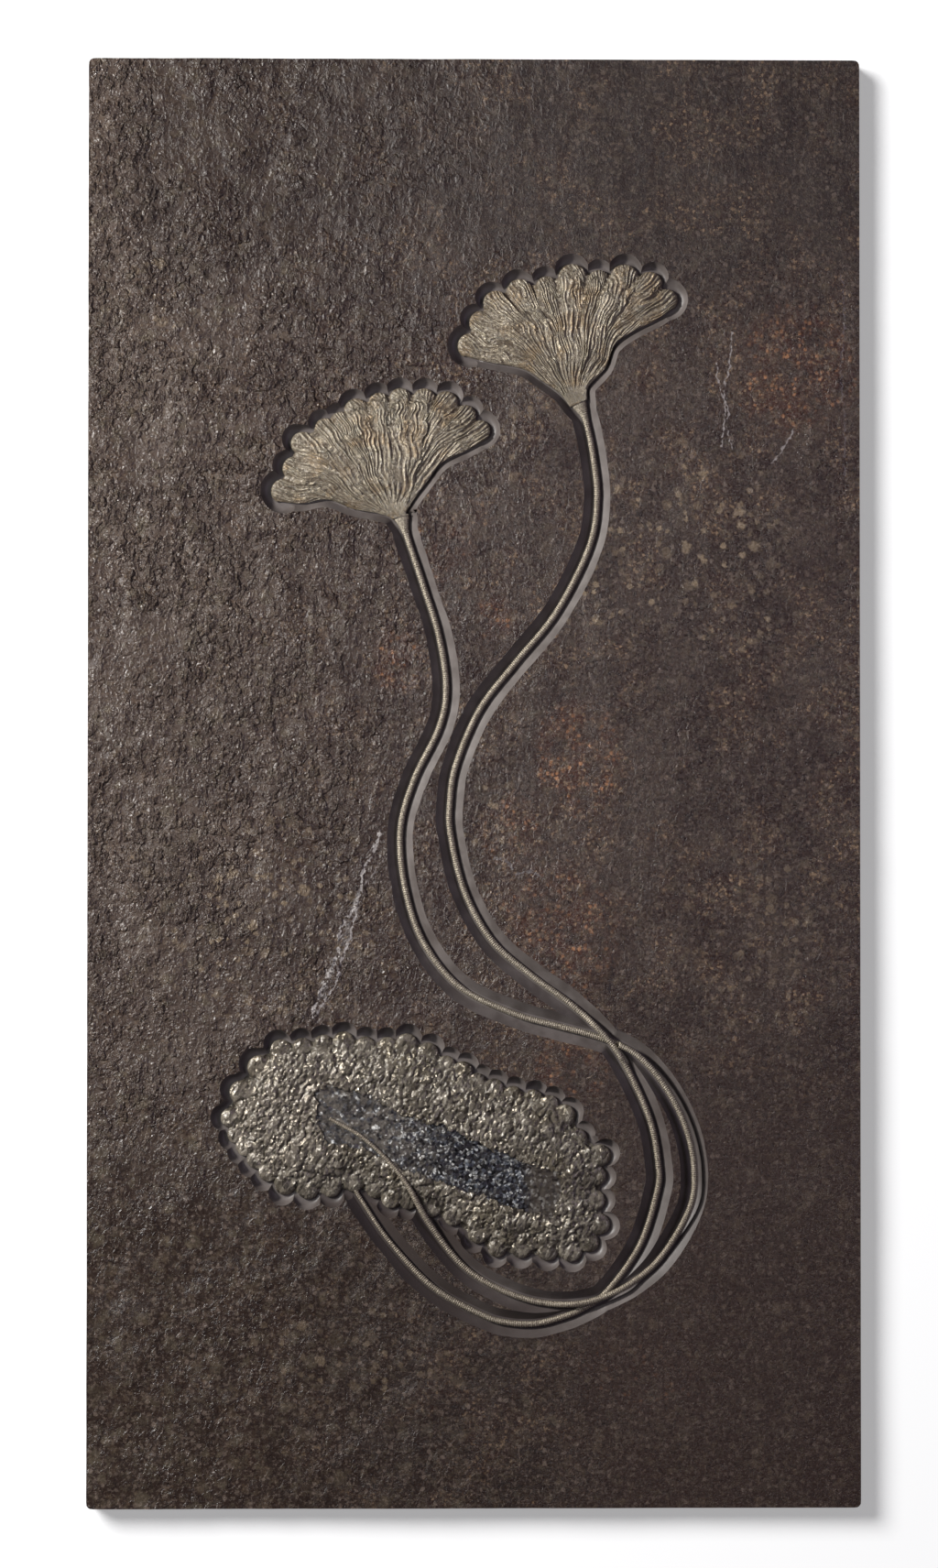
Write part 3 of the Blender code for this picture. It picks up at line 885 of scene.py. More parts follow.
        # Spots: size of their cells, share of cells filled, size in the cell, raggedness, then as above.
        for size, share, spot, ragged, strength, colour, where in (
            (26.0, 0.40, 0.40, 0.9, 0.50, self.olive, spotted), (14.0, 0.36, 0.44, 0.9, 0.50, self.olive, spotted),
            (19.0, 0.34, 0.40, 0.8, 0.90, self.litter, littered), (10.0, 0.40, 0.44, 0.8, 0.95, self.litter, littered),
            (7.0, 0.25, 0.46, 0.7, 0.70, self.speck, peppered), (5.0, 0.18, 0.40, 0.8, 0.85, self.tan, clusters),
            (6.0, 0.52, 0.44, 0.7, 0.95, self.ochre, rusty),
        ):
            cells = {"Vector": mm, "Size": size, "Share": share, "Spot": spot, "Ragged": ragged}
            spots = graph.group(Effects.SPECKLE, cells).outputs
            varied = graph.times(spots[0], graph.remap(spots[1], 0.0, 1.0, 0.3, 1.0))
            base = graph.mix(graph.times(varied, strength, where, clamp=True), base, colour)

        soot = graph.times(graph.remap(zones.fine, 0.62, 0.36, 0.0, 0.62), graph.rest(zones.far_left, 0.35))
        base = graph.mix(soot, base, self.soot, "MULTIPLY")
        # More painted shade: the top of the face is darkened further.
        base = graph.mix(graph.times(zones.upper, 0.34), base, self.shade, "MULTIPLY")
        for vein in self.veins:
            base = graph.mix(vein.mask(graph, mm), base, vein.colour)
        return base

    @staticmethod
    def _relief(graph: Graph, mm: Socket, zones: Zones) -> Socket:
        """Flakes and cracks on the rougher side, and grit all over, in millimetres."""
        calm = graph.mottle(mm, 70.0, 0.34, 0.62)
        rough_side = graph.times(
            graph.plus(graph.times(zones.left, 0.96), 0.06), graph.rest(zones.upper, 0.25), graph.plus(calm, 0.5),
            graph.rest(zones.low, 0.82),
        )
        height = graph.times(graph.noise(mm, 0.09, 5.0, 0.66), 0.9)
        for size, reach, sharp in ((13.0, 2.95, 0.17), (6.8, 1.25, 0.20)):
            flakes = graph.group(Effects.FLAKES, {"Vector": mm, "Size": size, "Sharp": sharp})
            height = graph.plus(height, graph.times(flakes.outputs[0], reach))
        cracks = graph.group(Effects.WRINKLE, {"Vector": mm, "Size": 17.0})
        height = graph.math("SUBTRACT", height, graph.remap(cracks.outputs[0], 0.40, 0.5, 0.0, 0.45))
        grit = graph.plus(graph.times(zones.fine, 0.60), graph.times(graph.noise(mm, 0.30, 3.0, 0.7), 0.45))
        calmer = graph.rest(zones.far_left, 0.60)
        return graph.plus(graph.times(height, rough_side), graph.times(grit, calmer))


@dataclass(frozen=True)
class GroundStone(Finish):
    """The recesses, where the preparator ground the shale away: pale, smooth and dusty."""

    name: str = "ground shale"
    pale: Colour = (0.130, 0.112, 0.104)
    shade: Colour = (0.080, 0.066, 0.060)
    # The dark colour of the painted shade on the walls at the bottom of the slab.
    bare: Colour = (0.038, 0.028, 0.025)

    def dress(self, graph: Graph, shader: Node, mm: Socket) -> None:
        """Mixes the dust, painted shade on the walls at the bottom of the slab, and the grinder's faint marks."""
        base = graph.mix(graph.mottle(mm, 22.0, 0.3, 0.7), self.shade, self.pale)
        across = graph.axes(mm)[0]
        # Painted shade: walls at the bottom of the slab, in three stretches, are painted darker.
        painted_shade = graph.times(graph.area(mm, (-190.0, -150.0), (-410.0, -450.0)), graph.remap(across, 50.0, -30.0))
        for x, y, strength in (((170.0, 70.0), (-545.0, -575.0), 0.75), ((168.0, 190.0), (-290.0, -370.0), 0.5)):
            painted_shade = graph.math("MAXIMUM", painted_shade, graph.times(graph.area(mm, x, y), strength))
        base = graph.mix(graph.times(painted_shade, 0.9), base, self.bare)
        marks = graph.noise(mm, 0.7, 3.0)
        self.finish(graph, shader, base, graph.remap(marks, 0.3, 0.7, 0.42, 0.56), graph.times(marks, 0.12))


@dataclass(frozen=True)
class SawnStone(Finish):
    """The slab's sides and back, sawn and left matt."""

    name: str = "sawn shale"
    dark: Colour = (0.050, 0.042, 0.038)
    pale: Colour = (0.085, 0.075, 0.068)

    def dress(self, graph: Graph, shader: Node, mm: Socket) -> None:
        """Mixes the saw's lines with faint bedding."""
        bedding = graph.noise(graph.vector("MULTIPLY", mm, (0.06, 0.06, 1.6)), 0.5, 4.0)
        saw = graph.noise(graph.vector("MULTIPLY", mm, (0.8, 0.8, 0.03)), 1.0, 2.0)
        base = graph.mix(graph.remap(bedding, 0.35, 0.65), self.dark, self.pale)
        self.finish(graph, shader, base, graph.remap(saw, 0.3, 0.7, 0.55, 0.75), graph.times(saw, 0.15))


@dataclass(frozen=True)
class ArmCalcite(Finish):
    """The crowns: mineralised arms, cream on the ridges and brown in the grooves, partly their own colour and partly
    painted highlight and shade, with a dull metal sheen.
    """

    name: str = "arm calcite"
    crest: Colour = (0.440, 0.376, 0.276)
    groove_and_shade: Colour = (0.125, 0.096, 0.065)
    olive: Colour = (0.235, 0.205, 0.150)
    orange: Colour = (0.33, 0.22, 0.110)
    silver: Colour = (0.33, 0.325, 0.305)

    def dress(self, graph: Graph, shader: Node, mm: Socket) -> None:
        """Colours by height in the ribs, which partly paints highlight on the crests and shade in the grooves, and by
        fibres that follow the arms, then stains.
        """
        crest = graph.attribute("crest")
        along = graph.add("CombineXYZ", {0: graph.attribute("arm"), 1: graph.attribute("way"), 2: 0.0}).outputs[0]
        fibre = graph.noise(along, 1.0, 4.0, 0.6)
        duller = graph.remap(graph.axes(mm)[0], 60.0, -60.0, 0.0, 0.21)
        top = graph.mix(graph.times(graph.mottle(mm, 22.0, 0.38, 0.62), 0.6), self.crest, self.olive)
        top = graph.mix(graph.times(graph.attribute("rim"), 0.5), top, self.olive)
        top = graph.mix(duller, top, self.olive)
        top = graph.mix(graph.times(graph.mottle(mm, 26.0, 0.49, 0.63, 6.0), 0.65), top, self.orange)
        top = graph.mix(graph.remap(graph.noise(mm, 0.28, 4.0, 0.72), 0.51, 0.60, 0.0, 0.45), top, self.silver)
        # Partly painted highlight and shade: the ribs go from brown in the grooves to cream on the crests.
        lit = graph.times(graph.remap(crest, -0.1, 0.7), graph.remap(fibre, 0.34, 0.54, 0.35, 1.0))
        base = graph.mix(lit, self.groove_and_shade, top)
        grain = graph.noise(mm, 1.1, 3.0)
        glints, _ = graph.glint(mm, 2.4)
        height = graph.plus(graph.times(grain, 0.5), graph.times(glints, 0.6), graph.times(fibre, 1.5))
        metal = graph.remap(crest, 0.3, 0.9, 0.10, 0.44)
        self.finish(graph, shader, base, graph.remap(grain, 0.3, 0.7, 0.24, 0.42), height, metal)


@dataclass(frozen=True)
class StemCalcite(Finish):
    """The stems: pale gold-grey discs with dark seams between them."""

    name: str = "stem calcite"
    disc: Colour = (0.465, 0.412, 0.318)
    worn: Colour = (0.32, 0.276, 0.208)
    seam: Colour = (0.12, 0.095, 0.070)

    def dress(self, graph: Graph, shader: Node, mm: Socket) -> None:
        """Colours by the discs' height."""
        grain = graph.noise(mm, 0.75, 3.0, 0.6)
        disc = graph.mix(graph.times(graph.mottle(mm, 26.0, 0.35, 0.65), 0.6), self.disc, self.worn)
        down = graph.remap(graph.axes(mm)[1], -280.0, -420.0, 0.0, 0.75)
        disc = graph.mix(down, disc, self.worn)
        disc = graph.mix(graph.remap(grain, 0.55, 0.40, 0.0, 0.75), disc, self.seam)
        base = graph.mix(graph.remap(graph.attribute("crest"), 0.0, 0.8), self.seam, disc)
        self.finish(graph, shader, base, graph.remap(grain, 0.3, 0.7, 0.24, 0.40), graph.times(grain, 0.9), 0.4)


@dataclass(frozen=True)
class ShellPearl(Finish):
    """The crust of small oysters: olive-brown shell whose edges glint like metal."""

    name: str = "shell crust"
    olive: Colour = (0.122, 0.104, 0.080)
    pale: Colour = (0.250, 0.220, 0.176)
    # Colour of the bed between shells, partly painted shade.
    gap: Colour = (0.118, 0.102, 0.078)
    crumb: Colour = (0.22, 0.188, 0.150)
    tarnish: Colour = (0.105, 0.085, 0.054)

    def dress(self, graph: Graph, shader: Node, mm: Socket) -> None:
        """Colours by height in the shells, the bed between them darker as partly painted shade, with paler crumbs at
        the left end.
        """
        shell = graph.mix(graph.times(graph.mottle(mm, 16.0, 0.4, 0.6), 0.6), self.olive, self.pale)
        shell = graph.mix(graph.times(graph.mottle(mm, 44.0, 0.46, 0.62, 5.0), 0.55), shell, self.tarnish)
        shell = graph.mix(graph.times(graph.attribute("crumbly"), 0.6), shell, self.crumb)
        # Partly painted shade: the bed between the shells is darker than the shells.
        base = graph.mix(graph.remap(graph.attribute("crest"), 0.05, 0.5), self.gap, shell)
        ways = {0: graph.dot(mm, (0.87, -0.48, 0.0)), 1: graph.dot(mm, (0.22, 0.40, 0.0)), 2: 0.0}
        glints, chance = graph.glint(graph.add("CombineXYZ", ways).outputs[0], 3.2)
        fine, _ = graph.glint(mm, 1.9)
        grain = graph.noise(mm, 1.0, 3.0)
        height = graph.plus(graph.times(glints, 0.82), graph.times(grain, 0.3), graph.times(fine, 0.35))
        metal = graph.remap(chance, 0.5, 0.8, 0.12, 0.60)
        self.finish(graph, shader, base, graph.remap(grain, 0.3, 0.7, 0.15, 0.31), height, metal)


@dataclass(frozen=True)
class CoalifiedWood(Finish):
    """The driftwood, turned to jet: blue-black grains with wet-looking glints."""

    name: str = "coalified wood"
    black: Colour = (0.016, 0.015, 0.016)
    blue: Colour = (0.060, 0.066, 0.080)
    ash: Colour = (0.105, 0.092, 0.079)
    brown: Colour = (0.052, 0.040, 0.029)

    def dress(self, graph: Graph, shader: Node, mm: Socket) -> None:
        """Mixes the grains and their glints."""
        glints, chance = graph.glint(mm, 3.2)
        base = graph.mix(graph.remap(chance, 0.45, 0.95), self.black, self.blue)
        way = graph.axes(mm)[0]
        left, worn = graph.remap(way, 0.0, -110.0), graph.remap(way, 50.0, 66.0)
        ashen = graph.times(graph.mottle(mm, 7.0, 0.42, 0.58, 5.0), graph.plus(graph.times(left, 0.6), 0.15))
        base = graph.mix(graph.plus(ashen, graph.times(left, 0.35), clamp=True), base, self.ash)
        base = graph.mix(graph.times(worn, 0.8), base, self.brown)
        grain = graph.noise(mm, 0.9, 3.0)
        height = graph.plus(graph.times(glints, 1.3), graph.times(grain, 0.5))
        smooth = graph.plus(graph.times(worn, 0.5), graph.times(left, 0.45))
        rough = graph.plus(graph.remap(grain, 0.3, 0.7, 0.18, 0.36), graph.times(worn, 0.2))
        self.finish(graph, shader, base, rough, graph.times(height, graph.rest(smooth)))


# ---------------- the fossils


UPPER_STEM_ROUTE: tuple[Place, ...] = (
    (632, 440), (640, 460), (648, 500), (652, 546), (643, 598), (607, 669), (562, 724.5), (524, 774),
    (498, 834), (491, 877), (492, 912), (507, 973), (537, 1027), (580, 1065), (620, 1094), (649.5, 1120),
    (673, 1147), (693, 1183), (711, 1227), (719, 1272), (718, 1300), (699, 1359.5), (663, 1410.5),
    (635, 1430), (610, 1440), (584, 1446), (556, 1445), (528, 1437), (474, 1407), (426, 1357), (393, 1308.5),
    (383, 1291),
)
LOWER_STEM_ROUTE: tuple[Place, ...] = (
    (438, 564), (444, 585), (463, 642), (479, 694), (487, 751), (479, 795), (452, 851), (437, 906),
    (442, 969), (462, 1028.5), (502, 1078), (561, 1107), (605, 1119.5), (651, 1132), (693, 1150),
    (726, 1186), (749, 1232), (758, 1280), (751, 1324), (714, 1382), (661, 1415.5), (610, 1424.5),
    (559, 1414), (508, 1385), (469, 1336.5), (439, 1285.5), (400, 1245), (360, 1221),
)
COURSE_SPACING = 4.0  # distance between the points that a stem's course is read from


def course(route: Sequence[Place]) -> Line:
    """The smooth course of a stem through its route."""
    return smooth_line([at(place) for place in route], COURSE_SPACING)


@dataclass
class Stem:
    """A sea lily's stem: hundreds of thin discs in a row.

    Attributes:
        route: Survey places along it, from the crown.
        other: The route of the stem it crosses.
        above: Where it passes over the other stem, as a range down the sheet.
        climbs: Whether its tail climbs onto the crust.
        pitch: From one disc to the next.
        stations_per_disc: Rings of the mesh to a disc.
        seam: How deep the seam between two discs is, as a share of the radius.
        unevenness: How much smaller than the largest a disc can be.
        near_crossing: The stem is at full height this near to the one below it.
        clear_of_crossing: Farther than this it lies on the floor.
        climb_start: Where the climb onto the crust begins, down the sheet.
        climb_end: Where it ends.
        climb_height: How high it climbs.
        neck_length: How long the stem takes to reach its full width below the crown.
        tail_from: The share of its length where it thins.
        tail_length: How long it takes to thin, as a share of its length.
        tail_share: Its width after that, as a share of its full width.
        gap: Between two stems that cross.
        flare: How much wider the stem is where it meets the crown.
        flare_length: How far that reaches.
    """

    name: str
    node: str
    route: tuple[Place, ...]
    other: tuple[Place, ...]
    above: tuple[float, float]
    climbs: bool = False
    pitch: float = 2.3
    stations_per_disc: int = 4
    sides: int = 12
    seam: float = 0.20
    unevenness: float = 0.08
    near_crossing: float = 9.0
    clear_of_crossing: float = 21.0
    climb_start: float = 1372.0
    climb_end: float = 1300.0
    climb_height: float = 7.9
    neck_length: float = 70.0
    tail_from: float = 0.9
    tail_length: float = 0.06
    tail_share: float = 0.7
    gap: float = 0.3
    flare: float = 1.8
    flare_length: float = 12.0

    def build(self, finish: Material) -> Object:
        """Makes the stem.

        Args:
            finish: Its material.

        Returns:
            The piece.
        """
        line = smooth_line([at(place) for place in self.route], self.pitch / self.stations_per_disc)
        ways = headings(line)
        other = course(self.other)
        lifts = [self._lift(place, index / len(line), other) for index, place in enumerate(line)]
        rng = random.Random(self.name)
        count = len(line) // self.stations_per_disc + 2
        discs = [1.0 + rng.uniform(-self.unevenness, 0.0) for _ in range(count)]

        def place(u: float, v: float) -> tuple[float, float, float, float]:
            """A point for shares round and along the stem, and how near it is to a disc's crest."""
            index = round(v * (len(line) - 1))
            disc, station = divmod(index, self.stations_per_disc)
            crest = math.sin(math.pi * station / self.stations_per_disc) ** 0.7 if station else 0.0
            along = index * self.pitch / self.stations_per_disc
            flare = math.exp(-((along / self.flare_length) ** 1.6))
            neck = blend(NECK_SHARE, 1.0, ease(along / self.neck_length))
            tail = blend(1.0, self.tail_share, ease((v - self.tail_from) / self.tail_length))
            scale = neck * tail * (1 - self.seam * (1 - flare) * (1 - crest)) * discs[disc]
            across = STEM_WIDTH / 2 * math.cos(math.tau * u) * scale * (1 + self.flare * flare)
            up = STEM_HEIGHT / 2 * math.sin(math.tau * u) * scale
            spot = line[index] + rightward(ways[index]) * across
            height = SEAT_HEIGHT + STEM_HEIGHT / 2 + lifts[index] + up
            return (spot.x, spot.y, height, blend(crest, 0.45, flare))

        bm = sheet((self.sides, len(line) - 1), place, ("crest",))
        cap(bm)
        return dress(to_object(bm, self.name), finish, self.node)

    def _lift(self, place: Vector, share: float, other: Line) -> float:
        """How far above the floor of its recess the stem runs at a place.

        Args:
            place: A point of its course.
            share: The share of the course that lies before it.
            other: The course of the other stem.

        Returns:
            The height in millimetres.
        """
        down_sheet = PLATE_MIDDLE[1] - place.y
        lift = 0.0
        if self.above[0] < down_sheet < self.above[1]:
            apart = distance_to(place, other) - self.near_crossing
            near = 1 - ease(apart / (self.clear_of_crossing - self.near_crossing))
            lift = near * (STEM_HEIGHT + self.gap)
        if self.climbs and share > 0.5:
            climb = ease((self.climb_start - down_sheet) / (self.climb_start - self.climb_end))
            lift = max(lift, self.climb_height * climb)
        return lift


@dataclass(frozen=True)
class FanPoint:
    """A point of a crown's fan.

    Attributes:
        u: Share of the way across the fan.
        arm: The same, before the arms' sweep.
        v: Share of the way from the stem to the tips.
        place: Where it lies.
        width: The fan's width there.
        length: The fan's length there.
    """

    u: float
    arm: float
    v: float
    place: Vector
    width: float
    length: float


@dataclass
class Crown:
    """A sea lily's crown: a fan of branching arms, matted together and ending in round lobes.

    Attributes:
        lobes: Right, down and radius of each lobe, from left to right round the top.
        left: The lower left edge, from the outermost lobe to the stem.
        right: The lower right edge.
        stem: The route of its stem.
        curl: How far the arms wander, in millimetres, at the left and at the right.
        sweep: How long the arms run along the lower left edge before they turn up.
        spread: Width of the fan at its tips.
        bare_neck: The share of its length over which the neck has no ribs.
        columns_per_lobe: Columns of the mesh to a lobe.
        arms_at_neck: Arms side by side before the first fork.
        forks: Where the arms fork, as shares of the length.
        edge_thickness: Its thickness near the edge.
        slope: How far in from the edge it reaches its full thickness.
        rounding: How far in from the edge the edge is rounded.
        crossing: How far bundles of arms lie across their neighbours.
        fibres: How many fibres lie across the fan, and how often they change along it.
        crest_half: Half width of a rib.
        neck_profile: Point of the stem's course and half width, up the stem's flare.
        fault: Where the fan's folded part begins, as shares of its width from the stem to the tips.
        fault_step: How far that part stands above the rest.
        crumple: How uneven the mat of arms is.
    """

    name: str
    node: str
    lobes: tuple[Lobe, ...]
    left: tuple[Place, ...]
    right: tuple[Place, ...]
    stem: tuple[Place, ...]
    curl: tuple[float, float] = (9.0, 4.0)
    sweep: float = 0.0
    spread: float = 300.0
    bare_neck: float = 0.06
    columns_per_lobe: int = 54
    rows: int = 135
    arms_at_neck: int = 20
    forks: tuple[float, ...] = (0.20, 0.52)
    thickness: float = 9.6
    edge_thickness: float = 5.0
    slope: float = 38.0
    rim: float = 1.6
    rounding: float = 5.0
    crossing: float = 0.16
    fibres: tuple[float, float] = (120.0, 8.0)
    rib: float = 1.5
    crest_half: float = 0.92
    neck_width: float = 20.0
    neck_profile: tuple[tuple[int, float], ...] = ((7, 3.7), (5, 4.2), (4, 5.0), (2, 7.4), (1, 8.8))
    fault: tuple[float, ...] = (0.8, 0.8, 0.8)
    fault_step: float = 0.8
    crumple: float = 1.0

    def edges(self) -> tuple[Line, Line]:
        """The two lower edges, each from its side of the neck out to its outermost lobe."""
        line = course(self.stem)
        side = rightward((line[1] - line[0]).normalized()) * self.neck_width / 2
        found = []
        for edge, root in ((self.left, line[0] + side), (self.right, line[0] - side)):
            drawn = smooth_line([root, *[at(place) for place in reversed(edge)]], 2.0)
            found.append(spread(drawn, self.rows))
        return found[0], found[1]

    def neck_side(self, left: bool) -> Line:
        """Points up one side of the stem's flare, to where the crown's lower edge begins."""
        line = course(self.stem)
        ways = headings(line)
        return [
            line[index] + rightward(ways[index]) * (half if left else -half) for index, half in self.neck_profile
        ]

    def outline(self, grow: float, shift: float, steps: int) -> Line:
        """Draws the whole outline, clockwise.

        Args:
            grow: How much further out each lobe reaches.
            shift: How much of that is by moving the lobe outwards.
            steps: Points on each lobe's arc.

        Returns:
            The closed line.
        """
        left, right = self.edges()
        tips = Scallops(self.lobes, steps, left[-1], right[-1]).line(grow, shift)
        return [*tips, *right[:-1][::-1], *left[:-1]]

    def build(self, finish: Material) -> Object:
        """Makes the crown.

        Args:
            finish: Its material.

        Returns:
            The piece.
        """
        left, right = self.edges()
        tips = Scallops(self.lobes, self.columns_per_lobe, left[-1], right[-1]).line(0.0)
        left, right = [*left[:-1], tips[0]], [*right[:-1], tips[-1]]

        def place(arm: float, v: float) -> tuple[float, ...]:
            """A point of the fan between its edges, and its four marks."""
            u = arm ** (1 + self.sweep * (1 - v) ** 1.5)
            tip, root = sample(tips, u), blend(left[0], right[0], u)
            left_side, right_side = sample(left, v), sample(right, v)
            corners = blend(root, blend(tips[0], tips[-1], u), v)
            spot = blend(left_side, right_side, u) + blend(root, tip, v) - corners
            width = max((left_side - right_side).length, v * self.spread, 4.0)
            point = FanPoint(u, arm, v, spot.to_3d(), width, (tip - root).length)
            across, past = self._across(point)
            height, crest = self._surface(point, across, past)
            rim = ease((v - 0.8) / 0.15)
            return (spot.x, spot.y, height, crest, rim, across * self.fibres[0], v * self.fibres[1])

        bm = sheet((len(tips) - 1, self.rows), place, ("crest", "rim", "arm", "way"))
        close_below(bm, SEAT_HEIGHT)
        return dress(to_object(bm, self.name), finish, self.node)

    def _across(self, point: FanPoint) -> tuple[float, float]:
        """Finds which arm runs through a point.

        The arms on the left of the fault bend along it and lie over those on its right. Bundles wander, and some
        lie across others.

        Args:
            point: The point.

        Returns:
            The arm as a share of the fan, and how many millimetres the point lies past the fault.
        """
        arm, v, place = point.arm, point.v, point.place
        steps = v * (len(self.fault) - 1)
        index = min(int(steps), len(self.fault) - 2)
        fault = blend(self.fault[index], self.fault[index + 1], ease(steps - index))
        past = (arm - fault) * point.width + 1.5 * noise.noise(place / 9)
        if past < 0:
            arm *= self.fault[-1] / fault
        curl = blend(self.curl[0], self.curl[1], ease(point.u * 1.6))
        drift = curl * noise.noise(place / 27) + 0.45 * curl * noise.noise(place / 11 + Vector((5, 5, 5)))
        bundle = noise.noise(Vector((arm * 9.0, v * 3.5, 11.0)) + 0.2 * noise.noise_vector(place / 9))
        crossed = ease((bundle - 0.02) / 0.10) * (v - 0.55) * self.crossing
        return arm + ease(v * 3) * drift / point.width + ease(v * 4) * crossed, past

    def _ridge(self, point: FanPoint, across: float) -> float:
        """How near a point is to the crest of a rib, from 0 to about 1, and less on weaker ribs."""
        v, ridge = point.v, 0.0
        for level, fork in enumerate((0.0, *self.forks)):
            lines = self.arms_at_neck * 2**level
            phase = across * lines
            phase += 0.22 * noise.noise(Vector((phase * 0.8, v * 3.0, level * 5.3)))
            nearest = round(phase)
            if level and nearest % 2 == 0:
                continue
            apart = abs(phase - nearest) / lines * point.width
            late = fork * (1 + 0.9 * noise.noise(Vector((nearest * 1.7, level * 9.1, 2.0)))) if level else 0.0
            strength = ease((v - late) / 0.16) if level else ease(v / 0.05)
            strength *= 0.80 + 0.8 * noise.noise(Vector((nearest * 3.1, v * 5.0, level * 2.0)))
            ridge = max(ridge, strength * math.exp(-((apart / self.crest_half) ** 2)))
        return ridge

    def _surface(self, point: FanPoint, across: float, past: float) -> tuple[float, float]:
        """Finds the height at a point.

        Args:
            point: The point.
            across: The arm that runs through it, as a share of the fan.
            past: How far it lies past the fault.

        Returns:
            The height, and how near the point is to the crest of a rib.
        """
        u, v, place, width = point.u, point.v, point.place, point.width
        ridge = self._ridge(point, across)
        lobe_phase = u * len(self.lobes)
        between = abs(lobe_phase - round(lobe_phase)) * width / len(self.lobes)
        notch = ease((v - 0.85) / 0.12) * math.exp(-((between / 2.4) ** 2))
        edge = min((1 - v) * point.length, min(u, 1 - u) * width + 0.6)
        dome = math.sqrt(max(1 - (1 - min(edge / self.rounding, 1.0)) ** 2, 0.0))
        slope = ease(edge / self.slope)
        body = blend(STEM_HEIGHT, blend(self.edge_thickness, self.thickness, slope), ease(v * 6))
        crumple = noise.noise(Vector((across * 15, v * 2.2, 4.0))) + 0.7 * noise.noise(place / 13)
        body += self.crumple * crumple * slope + 0.35 * noise.noise(place / 3.0) * dome
        ledge = math.exp(past / 7) if past < 0 else -math.exp(-past / 2.5)
        body += self.fault_step * ledge * ease(v * 5) * ease((1 - v) * 6) * slope
        shown = ease((v - self.bare_neck) / self.bare_neck)
        rise = blend(self.rim, body, dome) - 1.6 * notch * dome + self.rib * (ridge - 0.5) * dome * shown
        return SEAT_HEIGHT + max(rise, 0.4), blend(0.42, ridge * (1 - 0.6 * notch), shown)


@dataclass(frozen=True)
class Shell:
    """One little oyster: a tilted, slightly long cap.

    Attributes:
        centre: Its middle.
        radius: Its half length.
        turn: The angle of its length.
        slim: Its width as a share of its length.
        rise: Its height.
        base: How high its edge lies above the seat.
        lean: Its slope across x and y.
        flat: How flat its top is, from 1 for a round cap.
    """

    centre: Vector
    radius: float
    turn: float
    slim: float
    rise: float
    base: float
    lean: tuple[float, float]
    flat: float = 2.0

    def height(self, x: float, y: float) -> float:
        """Its height above the seat, or 0 beyond its edge."""
        dx, dy = x - self.centre.x, y - self.centre.y
        along = dx * math.cos(self.turn) + dy * math.sin(self.turn)
        across = (dy * math.cos(self.turn) - dx * math.sin(self.turn)) / self.slim
        reach = (along * along + across * across) / self.radius**2
        if reach >= 1:
            return 0.0
        return self.base + self.rise * (1 - reach**self.flat) ** 0.6 + self.lean[0] * dx + self.lean[1] * dy


class ShellHeap:
    """Shells sorted into square bins, so that those over a place are found quickly."""

    def __init__(self, shells: Iterable[Shell], size: float) -> None:
        """Sorts shells into bins of a size in millimetres."""
        self.size = size
        self.bins: dict[tuple[int, int], list[Shell]] = {}
        for shell in shells:
            reach = int(shell.radius // size) + 1
            column, row = self._bin(shell.centre.x, shell.centre.y)
            for i in range(column - reach, column + reach + 1):
                for j in range(row - reach, row + reach + 1):
                    self.bins.setdefault((i, j), []).append(shell)

    def _bin(self, x: float, y: float) -> tuple[int, int]:
        """The bin that a place falls in."""
        return int(x // self.size), int(y // self.size)

    def height(self, x: float, y: float) -> float:
        """The height of the tallest shell over a place, or 0."""
        return max((shell.height(x, y) for shell in self.bins.get(self._bin(x, y), ())), default=0.0)


